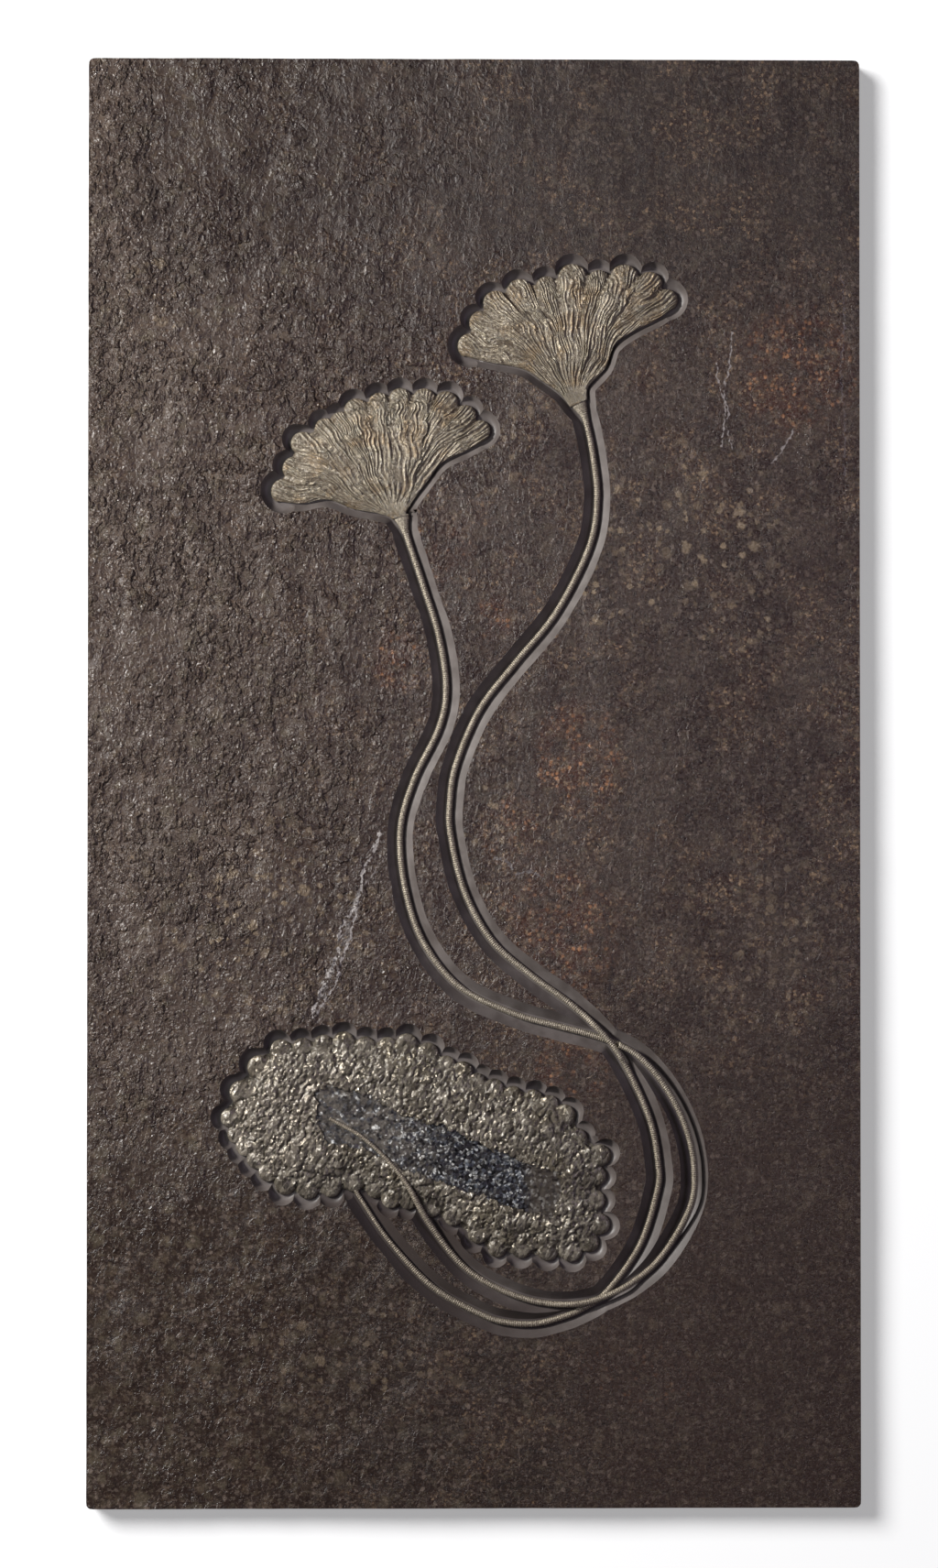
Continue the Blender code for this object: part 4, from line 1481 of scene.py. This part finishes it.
@dataclass
class ShellCrust:
    """The crust of shells that grew on the driftwood.

    Attributes:
        lobes: Right, down and radius of the shells round its edge, clockwise from the left end.
        wood: The outline of the bare wood, on the survey sheet.
        shell_spacing: From one inner shell to the next.
        thickness: Of the bed under the shells, at its edge and in its middle.
        slope: How far in from the edge it reaches the second.
        margin: How far past the lobes' middles the mesh reaches.
        sunk_share: How much lower the crust is under the wood.
        tallest: Its greatest height above the seat.
        crumbly_end: Right, down and radius of its crumbly end.
    """

    lobes: tuple[Lobe, ...]
    wood: tuple[Place, ...]
    name: str = "shell_crust_surface"
    node: str = "shell_crust"
    cell: float = 1.12
    bin_size: float = 6.0
    shell_spacing: float = 4.5
    thickness: tuple[float, float] = (4.8, 10.2)
    slope: float = 32.0
    margin: float = 16.0
    sunk_share: float = 0.45
    tallest: float = 13.4
    crumbly_end: Lobe = (312, 1215, 62)

    def outline(self, grow: float, shift: float, steps: int) -> Line:
        """The scalloped outline, with its lobes grown and shifted outwards."""
        return Scallops(self.lobes, steps).line(grow, shift)

    def build(self, finish: Material) -> Object:
        """Makes the crust.

        Args:
            finish: Its material.

        Returns:
            The piece.
        """
        core = [at(lobe) for lobe in self.lobes]
        wood = [at(place) for place in self.wood]
        edge = self._edge(core)
        heap = ShellHeap(self._rim_shells(core) + self._inner_shells(core, edge), self.bin_size)
        low, high = box_of(core, self.margin)
        crumbly = at(self.crumbly_end)

        def place(u: float, v: float) -> tuple[float, ...]:
            """A point of the crust, how far a shell stands out there, and how crumbly it is."""
            x, y = blend(low.x, high.x, u), blend(low.y, high.y, v)
            flat = Vector((x, y, 0.0))
            shells = heap.height(x, y)
            bed = self._bed(flat, edge) - 0.6 if inside(flat.xy, core) else 0.8
            crumb = ease(1.5 - (flat.xy - crumbly).length / self.crumbly_end[2])
            rough = (0.2 + 0.4 * crumb) * noise.noise(flat / 2.4) + (0.3 + 0.7 * crumb) * noise.noise(flat / 5.0)
            top = max(shells, bed)
            rise = max(top + rough * min(top / 4, 1.0), 0.8)
            if self._sunk(flat.xy, wood):
                rise *= 1 - self.sunk_share
            return (x, y, SEAT_HEIGHT + min(rise, self.tallest), ease((shells - bed) / 1.6), crumb)

        bm = sheet(cells_in(low, high, self.cell), place, ("crest", "crumbly"))
        close_below(bm, SEAT_HEIGHT)
        obj = to_object(bm, self.name)
        trim(obj, self.outline(0.0, 0.0, 10), "crust outline")
        return dress(obj, finish, self.node, 60.0)

    @staticmethod
    def _edge(core: Line) -> KDTree:
        """Points all along a ring, to measure distances from."""
        ring = smooth_line([*core, core[0]], 4.0)
        edge = KDTree(len(ring))
        for index, point in enumerate(ring):
            edge.insert((*point, 0.0), index)
        edge.balance()
        return edge

    @staticmethod
    def _sunk(place: Vector, wood: Line) -> bool:
        """Whether a place lies under the wood, whose edge is ragged."""
        stray = [noise.noise(Vector((*place, layer)) / 8) for layer in (0, 9)]
        return inside(place + 4 * Vector(stray), wood)

    def _bed(self, flat: Vector, edge: KDTree) -> float:
        """How thick the crust is at a place inside it: thin at its edge."""
        return blend(*self.thickness, ease(edge.find(flat)[2] / self.slope))

    def _rim_shells(self, core: Line) -> list[Shell]:
        """The round shells of the scalloped edge."""
        rng = random.Random(11)
        made = []
        for centre, lobe in zip(core, self.lobes):
            lean = (rng.uniform(-0.12, 0.02), rng.uniform(-0.05, 0.1))
            made.append(Shell(centre, lobe[2] + 0.3, 0.0, 1.0, rng.uniform(3.2, 4.2), 2.0, lean, 1.4))
        return made

    def _inner_shells(self, core: Line, edge: KDTree) -> list[Shell]:
        """Shells heaped at random over the middle."""
        rng = random.Random(4)
        low, high = box_of(core)
        made = []
        y = low.y
        while y < high.y:
            x = low.x
            while x < high.x:
                spot = Vector((x + rng.uniform(-2.5, 2.5), y + rng.uniform(-2.5, 2.5)))
                radius = 2.1 + 4.2 * rng.random() ** 2
                turn, slim, rise = rng.uniform(0.6, 1.7), rng.uniform(0.45, 0.8), rng.uniform(0.6, 1.1)
                lean = (rng.uniform(-0.30, 0.12), rng.uniform(-0.15, 0.2))
                lift = rng.uniform(-0.5, 0.35)
                if inside(spot, core) and edge.find((*spot, 0.0))[2] > 4.0:
                    base = self._bed(Vector((*spot, 0.0)), edge) + lift
                    made.append(Shell(spot, radius, turn, slim, rise, base, lean, 5.0))
                x += self.shell_spacing
            y += self.shell_spacing
        return made


@dataclass
class Driftwood:
    """The bare stretch of the log, turned to jet.

    Attributes:
        outline: Its outline on the survey sheet, clockwise.
        margin: How far past the outline the mesh reaches.
        grow: How far the wood reaches under the crust's edge.
        ragged: How far its edge strays.
    """

    outline: tuple[Place, ...]
    name: str = "driftwood_surface"
    node: str = "driftwood"
    cell: float = 1.05
    margin: float = 8.0
    grow: float = 3.0
    ragged: float = 2.6
    thickness: float = 9.6

    def build(self, finish: Material) -> Object:
        """Makes the wood.

        Args:
            finish: Its material.

        Returns:
            The piece.
        """
        places = [at(place) for place in self.outline]
        low, high = box_of(places, self.margin)

        def place(u: float, v: float) -> tuple[float, float, float, float]:
            """A point of the wood, and how far it lies from a crack."""
            x, y = blend(low.x, high.x, u), blend(low.y, high.y, v)
            distances, _ = noise.voronoi(Vector((x / 5.2, y / 5.2, 0.0)))
            grain = min(distances[1] - distances[0], 0.5)
            lump = noise.noise(Vector((x / 14, y / 9, 7.0)))
            worn = 1 - 0.6 * ease((x - 50) / 16) - 0.6 * ease((-60 - x) / 80)
            rough = 2.4 * grain - 0.6 + 0.5 * noise.noise(Vector((x / 1.8, y / 1.8, 3.0)))
            rise = self.thickness + 1.3 * lump + worn * rough
            return (x, y, SEAT_HEIGHT + rise, grain)

        bm = sheet(cells_in(low, high, self.cell), place, ("crest",))
        close_below(bm, SEAT_HEIGHT)
        obj = to_object(bm, self.name)
        neighbours = zip(places[-1:] + places[:-1], places, places[1:] + places[:1])
        grown = [here + outward(before, after) * self.grow for before, here, after in neighbours]
        ring = smooth_line([*grown, grown[0]], 3.0)[:-1]
        ring = [point + self.ragged * noise.noise_vector(Vector((*point, 4.0)) / 9).xy for point in ring]
        trim(obj, ring, "wood outline")
        return dress(obj, finish, self.node)


# ---------------- the slab


@dataclass(frozen=True)
class Stain:
    """A soft-edged patch on the slab's face.

    Attributes:
        place: Its middle on the survey sheet.
        size: Its half sizes, across and down.
        strength: How strong it is in its middle.
    """

    place: Place
    size: Place
    strength: float = 1.0

    def share(self, spot: Vector) -> float:
        """How strong the patch is at a place."""
        offset = spot.xy - at(self.place)
        reach = math.hypot(offset.x / self.size[0], offset.y / self.size[1])
        return self.strength * ease(1.5 - reach)


@dataclass
class MatrixSlab:
    """The slab of shale, split on its face, sawn on its sides and ground away round the fossils.

    Attributes:
        stems: The stems that lie in its trenches.
        crowns: The crowns that lie in its recesses.
        crust: The crust that lies in its largest recess.
        stains: Its rust stains.
        litter: Where small broken shells lie thick.
        corners: Its corners on the survey sheet, clockwise from the top left.
        swell: Height of the face's long waves.
        rough_side: How much higher they are on the rough side.
        ledge: How high the steps of the split face are, on the smooth side and on the rough side.
        crinkle: Height of its short waves, on the smooth side and on the rough side.
        recess_depth: From the face down to a recess's floor.
        floor_margin: Floor left free round a fossil.
        wall_run: Width of a recess's wall.
        edge_run: Width of the wall along a crown's lower edges.
        overcut: How far the cutters reach above the face.
        wall_steps: Rings of a wall.
        hollow: How hollow a recess's wall is, from 1 for a straight one.
        trench_hollow: How hollow a stem's trench is.
        scallop_shift: Share of a wall's run by which its scallops move outwards.
        scallop_steps: Points on each scallop.
        corner_radius: Rounding of the slab's corners.
        step_place: Right, down and radius of a broken step in the bedding.
        side_top: Faces lower than this are sawn.
        crease: The angle in degrees past which an edge of ground stone is crisp.
    """

    stems: Sequence[Stem]
    crowns: Sequence[Crown]
    crust: ShellCrust
    stains: tuple[Stain, ...] = ()
    litter: tuple[Stain, ...] = ()
    corners: tuple[Place, ...] = ((97, 63), (938, 66), (940, 1646), (94, 1648))
    name: str = "matrix_slab_stone"
    node: str = "matrix_slab"
    cells: tuple[int, int] = (216, 400)
    swell: float = 0.8
    swell_length: float = 110.0
    rough_side: float = 1.6
    ledge: tuple[float, float] = (0.16, 0.55)
    crinkle: tuple[float, float] = (0.20, 0.80)
    recess_depth: float = 9.0
    floor_margin: float = 1.4
    wall_run: float = 9.6
    edge_run: float = 7.6
    overcut: float = 5.0
    wall_steps: int = 6
    hollow: float = 2.7
    trench_hollow: float = 1.15
    scallop_shift: float = 0.78
    scallop_steps: int = 12
    end_sides: int = 48
    corner_radius: float = 6.0
    step_place: Lobe = (606, 1022, 72)
    step_height: float = 0.8
    side_top: float = 27.0
    crease: float = 26.0

    def height(self, x: float, y: float) -> float:
        """The height of the split face, rougher towards the left."""
        left = ease((200.0 - x) / 500.0)
        swell = self.swell * blend(1.0, self.rough_side, left)
        rise = swell * noise.noise(Vector((x / self.swell_length, 0.6 * y / self.swell_length, 3.0)))
        climb = 5.5 * noise.fractal(Vector((x / 62, y / 84, 8.0)), 0.7, 2.1, 4)
        step = math.floor(climb)
        rise += blend(*self.ledge, left) * (step + ease((climb - step) / 0.35) - 0.4) * 0.6
        rise += blend(*self.crinkle, left) * noise.fractal(Vector((x / 18, y / 22, 1.0)), 0.6, 2.1, 3)
        offset = Vector((x, y)) - at(self.step_place)
        reach = offset.length / self.step_place[2] + 0.08 * noise.noise(Vector((x / 16, y / 16, 6.0)))
        rise += self.step_height * ease((1.03 - reach) / 0.06) * ease((offset.x + 30) / 50)
        return FACE_HEIGHT + rise

    def build(self, finishes: Sequence[Material]) -> Object:
        """Makes the slab.

        Args:
            finishes: Split, ground and sawn stone.

        Returns:
            The piece.
        """
        corners = [at(corner) for corner in self.corners]
        width, height = (corners[1] - corners[0]).length, (corners[3] - corners[0]).length

        def place(u: float, v: float) -> Point:
            """A point of the face, for shares across and up it."""
            u, v = self._rounded(u, v, width, height)
            spot = blend(blend(corners[3], corners[2], u), blend(corners[0], corners[1], u), v)
            return (spot.x, spot.y, self.height(spot.x, spot.y))

        bm = sheet(self.cells, place)
        close_below(bm, 0.0)
        for face in bm.faces:
            face.normal_update()
            split = face.calc_center_median().z > self.side_top and abs(face.normal.z) > 0.5
            face.material_index = Stone.SPLIT if split else Stone.SAWN
        obj = to_object(bm, self.name)
        for finish in finishes:
            obj.data.materials.append(finish)
        carve(obj, self._cutters(finishes), "DIFFERENCE")
        self._shade(obj)
        for name, patches in (("stain", self.stains), ("litter", self.litter)):
            paint(obj, name, lambda spot: max((patch.share(spot) for patch in patches), default=0.0))
        install(obj, self.node)
        return obj

    def _rounded(self, u: float, v: float, width: float, height: float) -> tuple[float, float]:
        """Draws shares of the slab's width and height in from its corners, which are a little rounded."""
        radius = self.corner_radius
        across, up = min(u, 1 - u) * width, min(v, 1 - v) * height
        reach = math.hypot(radius - across, radius - up)
        if across >= radius or up >= radius or reach <= radius:
            return u, v
        across = radius - (radius - across) * radius / reach
        up = radius - (radius - up) * radius / reach
        return (across / width if u < 0.5 else 1 - across / width), (up / height if v < 0.5 else 1 - up / height)

    def _cutters(self, finishes: Sequence[Material]) -> list[Object]:
        """The solids that hollow out the recesses, with ground stone on their faces."""
        lines = []
        for stem in self.stems:
            lines.append((f"{stem.name} trench", self._into_crown(course(stem.route)), STEM_WIDTH / 2, self.wall_run))
        shapes = [(f"{piece.name} recess", self._bowl(piece)) for piece in (self.crust, *self.crowns)]
        for crown in self.crowns:
            for side, edge, lobe in zip(("left", "right"), crown.edges(), (crown.lobes[0], crown.lobes[-1])):
                lead = [*crown.neck_side(side == "left"), *spread(edge, 30)]
                lines.append((f"{crown.name} {side} trench", lead, 0.0, self.edge_run))
                shapes.append((f"{crown.name} {side} end", self._round_end(lobe)))
        shapes += [(name, self._trench(line, half, run)) for name, line, half, run in lines]
        cutters = []
        for name, bm in shapes:
            for face in bm.faces:
                face.material_index = Stone.GROUND
            cutter = to_object(bm, name)
            for finish in finishes:
                cutter.data.materials.append(finish)
            cutters.append(cutter)
        return cutters

    @staticmethod
    def _into_crown(line: Line) -> Line:
        """A stem's line, carried on into its crown."""
        return [line[0] - (line[1] - line[0]) * 2, *line]

    def _wall(self, run: float, hollow: float) -> list[tuple[float, float]]:
        """The profile of a recess's wall, steepest at its lip.

        Args:
            run: Its width.
            hollow: How hollow it is, from 1 for a straight one.

        Returns:
            Points as out and up from the floor's edge, the last of them above the face.
        """
        steps = [index / self.wall_steps for index in range(self.wall_steps + 1)]
        wall = [(run * t, self.recess_depth * t**hollow) for t in steps]
        out = self.overcut * run / self.recess_depth / hollow
        return [*wall, (run + out, self.recess_depth + self.overcut)]

    def _bowl(self, piece: Crown | ShellCrust) -> Solid:
        """A recess round a piece, scalloped as its outline is, with hollow walls."""
        rings = []
        for out, up in self._wall(self.wall_run, self.hollow):
            shift = out * self.scallop_shift
            rings.append((piece.outline(self.floor_margin + out, shift, self.scallop_steps), FLOOR_HEIGHT + up))
        return prism(rings)

    def _round_end(self, lobe: Lobe) -> Solid:
        """The round end of a recess, at a crown's outermost lobe."""
        rings = []
        for out, up in self._wall(self.wall_run, self.hollow):
            reach = lobe[2] + self.floor_margin + out
            turns = [math.tau * index / self.end_sides for index in range(self.end_sides)]
            ring = [at(lobe) + reach * Vector((math.cos(turn), math.sin(turn))) for turn in turns]
            rings.append((ring, FLOOR_HEIGHT + up))
        return prism(rings)

    def _trench(self, line: Line, half_width: float, run: float) -> Solid:
        """A cutter with a flat floor and straighter walls.

        Args:
            line: The line it follows.
            half_width: Half the width of what lies in it.
            run: Width of its walls.

        Returns:
            The closed solid.
        """
        floor = half_width + self.floor_margin
        right = [(floor + out, up) for out, up in self._wall(run, self.trench_hollow)]
        section = [*[(-out, up) for out, up in reversed(right)], *right]
        return swept([(place, FLOOR_HEIGHT, 1.0) for place in line], section)

    def _shade(self, obj: Object) -> None:
        """Shades the stone smooth, with crisp edges where two finishes meet and between scallops."""
        bm = bmesh.new()
        bm.from_mesh(obj.data)
        for face in bm.faces:
            face.smooth = True
        for edge in bm.edges:
            pair = [face.material_index for face in edge.link_faces]
            if len(pair) == 2:
                turned = edge.calc_face_angle(0.0) > math.radians(self.crease)
                edge.smooth = pair[0] == pair[1] and not (pair[0] != Stone.SPLIT and turned)
        bm.to_mesh(obj.data)
        bm.free()


# ---------------- the studio


@dataclass(frozen=True)
class Lamp:
    """A round light that faces the slab's middle.

    Attributes:
        name: Its name.
        place: Where it hangs, in metres.
        size: Its diameter.
        power: Its power in watts.
        colour: Its colour.
    """

    name: str
    place: Point
    size: float
    power: float
    colour: Colour = (1.0, 1.0, 1.0)

    def hang(self, receivers: bpy.types.Collection) -> None:
        """Puts up the light, for its receivers only."""
        data = bpy.data.lights.new(self.name, "AREA")
        data.shape = "DISK"
        data.size = self.size
        data.energy = self.power
        data.color = self.colour
        light = bpy.data.objects.new(self.name, data)
        light.location = self.place
        light.rotation_euler = (-Vector(self.place)).to_track_quat("-Z", "Y").to_euler()
        light.light_linking.receiver_collection = receivers
        bpy.context.scene.collection.objects.link(light)


@dataclass
class Studio:
    """A pale floor, a key light from the upper left, a faint fill and a camera straight above.

    Attributes:
        middle: The survey place that the camera looks at.
        view_height: Height of what it sees, in metres.
        plate_lamps: The lights that reach the plate.
        floor_lamp: The light that reaches the floor.
        air: Strength of the light from all round.
        floor_size: Length of the floor's sides, in metres.
        floor_drop: How far the floor lies below the slab, in millimetres.
        floor_glow: How much the floor glows, so that shadows on it stay pale.
        plate: The pieces that the plate's lights reach.
    """

    middle: Place = (512.0, 856.0)
    lens: float = 100.0
    sensor: float = 36.0
    view_height: float = 1.712
    plate_lamps: tuple[Lamp, ...] = (
        Lamp("key", (-2.75, 1.20, 1.80), 0.45, 190.0, (1.0, 0.985, 0.96)),
        Lamp("fill", (2.30, 0.30, 2.00), 1.2, 11.0, (0.80, 0.68, 1.0)),
        Lamp("sheen", (-1.30, 0.10, 1.60), 0.4, 10.0, (0.93, 0.96, 1.0)),
    )
    floor_lamp: Lamp = Lamp("floor light", (-3.55, 2.58, 4.09), 3.0, 520.0)
    air: float = 0.085
    air_colour: Colour = (0.93, 0.86, 1.0)
    floor_size: float = 40.0
    floor_drop: float = 0.3
    floor_glow: float = 0.345
    plate: bpy.types.Collection | None = None

    def build(self) -> None:
        """Sets the stage."""
        scene = bpy.context.scene
        scene.view_settings.view_transform = "Standard"
        self._camera(scene)
        self.plate = bpy.data.collections.new("plate pieces")
        paper = bpy.data.collections.new("paper")
        paper.objects.link(self._floor())
        for lamp in self.plate_lamps:
            lamp.hang(self.plate)
        self.floor_lamp.hang(paper)
        world = bpy.data.worlds.new("studio air")
        world.use_nodes = True
        background = world.node_tree.nodes["Background"]
        background.inputs["Color"].default_value = (*self.air_colour, 1.0)
        background.inputs["Strength"].default_value = self.air
        scene.world = world

    def light_up(self, pieces: Iterable[Object]) -> None:
        """Lets the plate's own lights reach its pieces."""
        for piece in pieces:
            self.plate.objects.link(piece)

    def _camera(self, scene: bpy.types.Scene) -> None:
        """Looks straight down from where the face fills the frame as it should."""
        data = bpy.data.cameras.new("camera")
        data.lens = self.lens
        data.sensor_width = self.sensor
        data.clip_end = 50.0
        camera = bpy.data.objects.new("camera", data)
        centre = at(self.middle) * MM
        camera.location = (centre.x, centre.y, FACE_HEIGHT * MM + self.view_height * self.lens / self.sensor)
        scene.collection.objects.link(camera)
        scene.camera = camera

    def _floor(self) -> Object:
        """A plain white floor."""
        bm = bmesh.new()
        bmesh.ops.create_grid(bm, x_segments=1, y_segments=1, size=self.floor_size / MM / 2)
        bmesh.ops.translate(bm, vec=(0.0, 0.0, -self.floor_drop), verts=bm.verts)
        floor = to_object(bm, "studio_floor")
        paper = bpy.data.materials.new("white paper")
        paper.use_nodes = True
        Graph(paper.node_tree).feed(paper.node_tree.nodes["Principled BSDF"], {
            "Base Color": (0.8, 0.8, 0.8, 1.0), "Roughness": 0.9, "Specular IOR Level": 0.0,
            "Emission Color": (1.0, 1.0, 1.0, 1.0), "Emission Strength": self.floor_glow,
        })
        floor.data.materials.append(paper)
        return floor


# ---------------- the plate


WOOD_OUTLINE: tuple[Place, ...] = (
    (345, 1192), (362, 1186), (410, 1200), (432, 1216), (490, 1232), (540, 1257), (580, 1272), (610, 1280),
    (613, 1302), (604, 1327), (575, 1323), (535, 1308), (480, 1290), (440, 1275), (400, 1255), (352, 1245),
)


def make_stems() -> tuple[Stem, Stem]:
    """The upper and the lower sea lily's stem."""
    upper = Stem("upper_stem_discs", "upper_stem", UPPER_STEM_ROUTE, LOWER_STEM_ROUTE, (1050.0, 1250.0))
    lower = Stem("lower_stem_discs", "lower_stem", LOWER_STEM_ROUTE, UPPER_STEM_ROUTE, (1350.0, 1480.0), climbs=True)
    return upper, lower


def make_crowns() -> tuple[Crown, Crown]:
    """The upper and the lower sea lily's crown."""
    upper = Crown(
        "upper_crown_arms", "upper_crown",
        lobes=(
            (513, 377, 13.5), (525, 352, 13), (541, 331, 14), (567, 318, 14), (597, 313, 12),
            (625, 303, 15.5), (654, 306, 12), (682, 303, 15), (710, 309, 13), (728, 327, 12),
        ),
        left=((507, 388), (530, 394), (570, 402), (590, 414), (612, 430)),
        right=((735, 336), (718, 348), (690, 362), (669, 378), (660, 402), (642, 422)),
        stem=UPPER_STEM_ROUTE,
        curl=(5.4, 2.8),
        sweep=0.35,
        fault=(0.78, 0.84, 0.87, 0.86, 0.83, 0.80),
    )
    lower = Crown(
        "lower_crown_arms", "lower_crown",
        lobes=(
            (309, 536, 13.5), (321, 511, 13), (330, 484, 13), (355, 468, 12), (372, 461, 12), (389, 448, 13.5),
            (414, 440, 12), (437, 435, 12), (463, 436, 12.5), (487, 439, 12.5), (508, 453, 11.5),
            (524, 469, 11),
        ),
        left=((303, 547), (330, 549), (357, 545), (385, 555), (412, 560), (425, 564)),
        right=((531, 479), (510, 491), (482, 505), (466, 525), (450, 547), (443, 560)),
        stem=LOWER_STEM_ROUTE,
        curl=(2.6, 1.8),
        sweep=1.1,
        fault=(0.87, 0.93, 0.89, 0.84, 0.77, 0.70),
    )
    return upper, lower


def make_crust() -> ShellCrust:
    """The crust of shells round the wood."""
    return ShellCrust(
        lobes=(
            (252, 1221, 11.5), (263, 1193, 13), (283, 1166, 13.5), (306, 1147, 12), (330, 1144, 10.5),
            (353, 1141, 11), (375, 1138, 11.5), (399, 1143, 11), (423, 1143, 10.5), (444, 1140, 11.5),
            (467, 1150, 11.5), (487, 1163, 10), (505, 1170, 11), (521, 1182, 10), (539, 1189, 11),
            (560, 1196, 10), (583, 1200, 10), (600, 1206, 10), (616, 1218, 12), (630, 1243, 11),
            (655, 1262, 12), (651, 1284, 11), (650, 1311, 11), (654, 1337, 12), (643, 1357, 11),
            (623, 1366, 12.5), (598, 1366, 11.5), (569, 1363, 11.5), (543, 1363, 10.5), (522, 1347, 11.5),
            (495, 1328, 11), (470, 1318, 12), (446, 1312, 9.5), (427, 1309, 11), (410, 1298, 11),
            (386, 1290, 12), (361, 1297, 11), (336, 1298, 12), (311, 1294, 11.5), (293, 1280, 11),
            (280, 1266, 11), (268, 1252, 11), (259, 1239, 11),
        ),
        wood=WOOD_OUTLINE,
    )


def make_slab(stems: Sequence[Stem], crowns: Sequence[Crown], crust: ShellCrust) -> MatrixSlab:
    """The slab, with its stains and its litter of broken shells."""
    return MatrixSlab(
        stems, crowns, crust,
        stains=(
            Stain((868, 405), (62, 66)), Stain((632, 828), (44, 58)), Stain((608, 1020), (64, 74), 0.75),
            Stain((560, 905), (34, 44), 0.65), Stain((434, 722), (26, 34), 0.85), Stain((540, 672), (24, 26), 0.6),
            Stain((625, 1165), (38, 38), 0.8), Stain((480, 600), (40, 40), 0.45), Stain((700, 1500), (90, 50), 0.3),
        ),
        litter=(
            Stain((745, 570), (100, 80)), Stain((680, 660), (60, 50), 0.9), Stain((800, 680), (50, 40), 0.8),
            Stain((560, 470), (40, 60), 0.5), Stain((840, 1020), (90, 120), 0.45), Stain((380, 1480), (120, 60), 0.4),
            Stain((530, 890), (30, 60), 0.6), Stain((180, 330), (60, 60), 0.5), Stain((300, 1010), (120, 110), 0.6),
        ),
    )


def make_face() -> SplitShale:
    """The finish of the slab's face, with its veins and a painted shadow line."""
    return SplitShale(veins=(
        Vein((394, 972), (352, 1090), (0, -1, 1, -2, 0), 6.0, (0.175, 0.158, 0.152), 0.40),
        Vein((416, 904), (340, 1112), (0, 1, -2, 3, 1, -2, 2, 1, -1, 0), 2.5, (0.33, 0.30, 0.285)),
        Vein((390, 990), (346, 1108), (0, 3, 5, 4, 7, 3, 0), 1.9, strength=0.85),
        Vein((419, 937), (388, 978), (0, 1, 0), 1.1, strength=0.6),
        Vein((798, 362), (786, 488), (0, 2, -1, 2, 0), 1.3, strength=0.8),
        Vein((782, 396), (800, 492), (0, -2, 3, -1, 0), 1.2, strength=0.75),
        Vein((866, 468), (842, 506), (0, 2, 0), 1.2, strength=0.75),
        Vein((538, 938), (592, 962), (0, 4, -3, 4, 0), 2.4, (0.150, 0.138, 0.140), 0.55),
        # A dark line along the lip of the broken step: painted shadow.
        Vein((650, 975), (664, 1085), (0, 8, 11, 8, 0), 1.5, (0.016, 0.012, 0.013), 0.7),
        Vein((918, 300), (922, 520), (0, 3, -2, 1, 0), 1.0, (0.115, 0.095, 0.105), 0.6),
        Vein((652, 1168), (632, 1184), (0, 1, 0), 1.0, (0.26, 0.20, 0.15), 0.8),
    ))


def main() -> None:
    """Builds every piece in order."""
    logging.basicConfig(level=logging.INFO, format="%(name)s: %(message)s")
    noise.seed_set(NOISE_SEED)
    Effects().build()
    studio = Studio()
    studio.build()

    stems, crowns, crust = make_stems(), make_crowns(), make_crust()
    stone = [finish.material() for finish in (make_face(), GroundStone(), SawnStone())]
    pieces = [make_slab(stems, crowns, crust).build(stone)]
    arms, discs = ArmCalcite().material(), StemCalcite().material()
    pieces += [crown.build(arms) for crown in crowns]
    pieces += [stem.build(discs) for stem in stems]
    pieces.append(crust.build(ShellPearl().material()))
    pieces.append(Driftwood(WOOD_OUTLINE).build(CoalifiedWood().material()))
    studio.light_up(pieces)


if __name__ == "__main__":
    main()
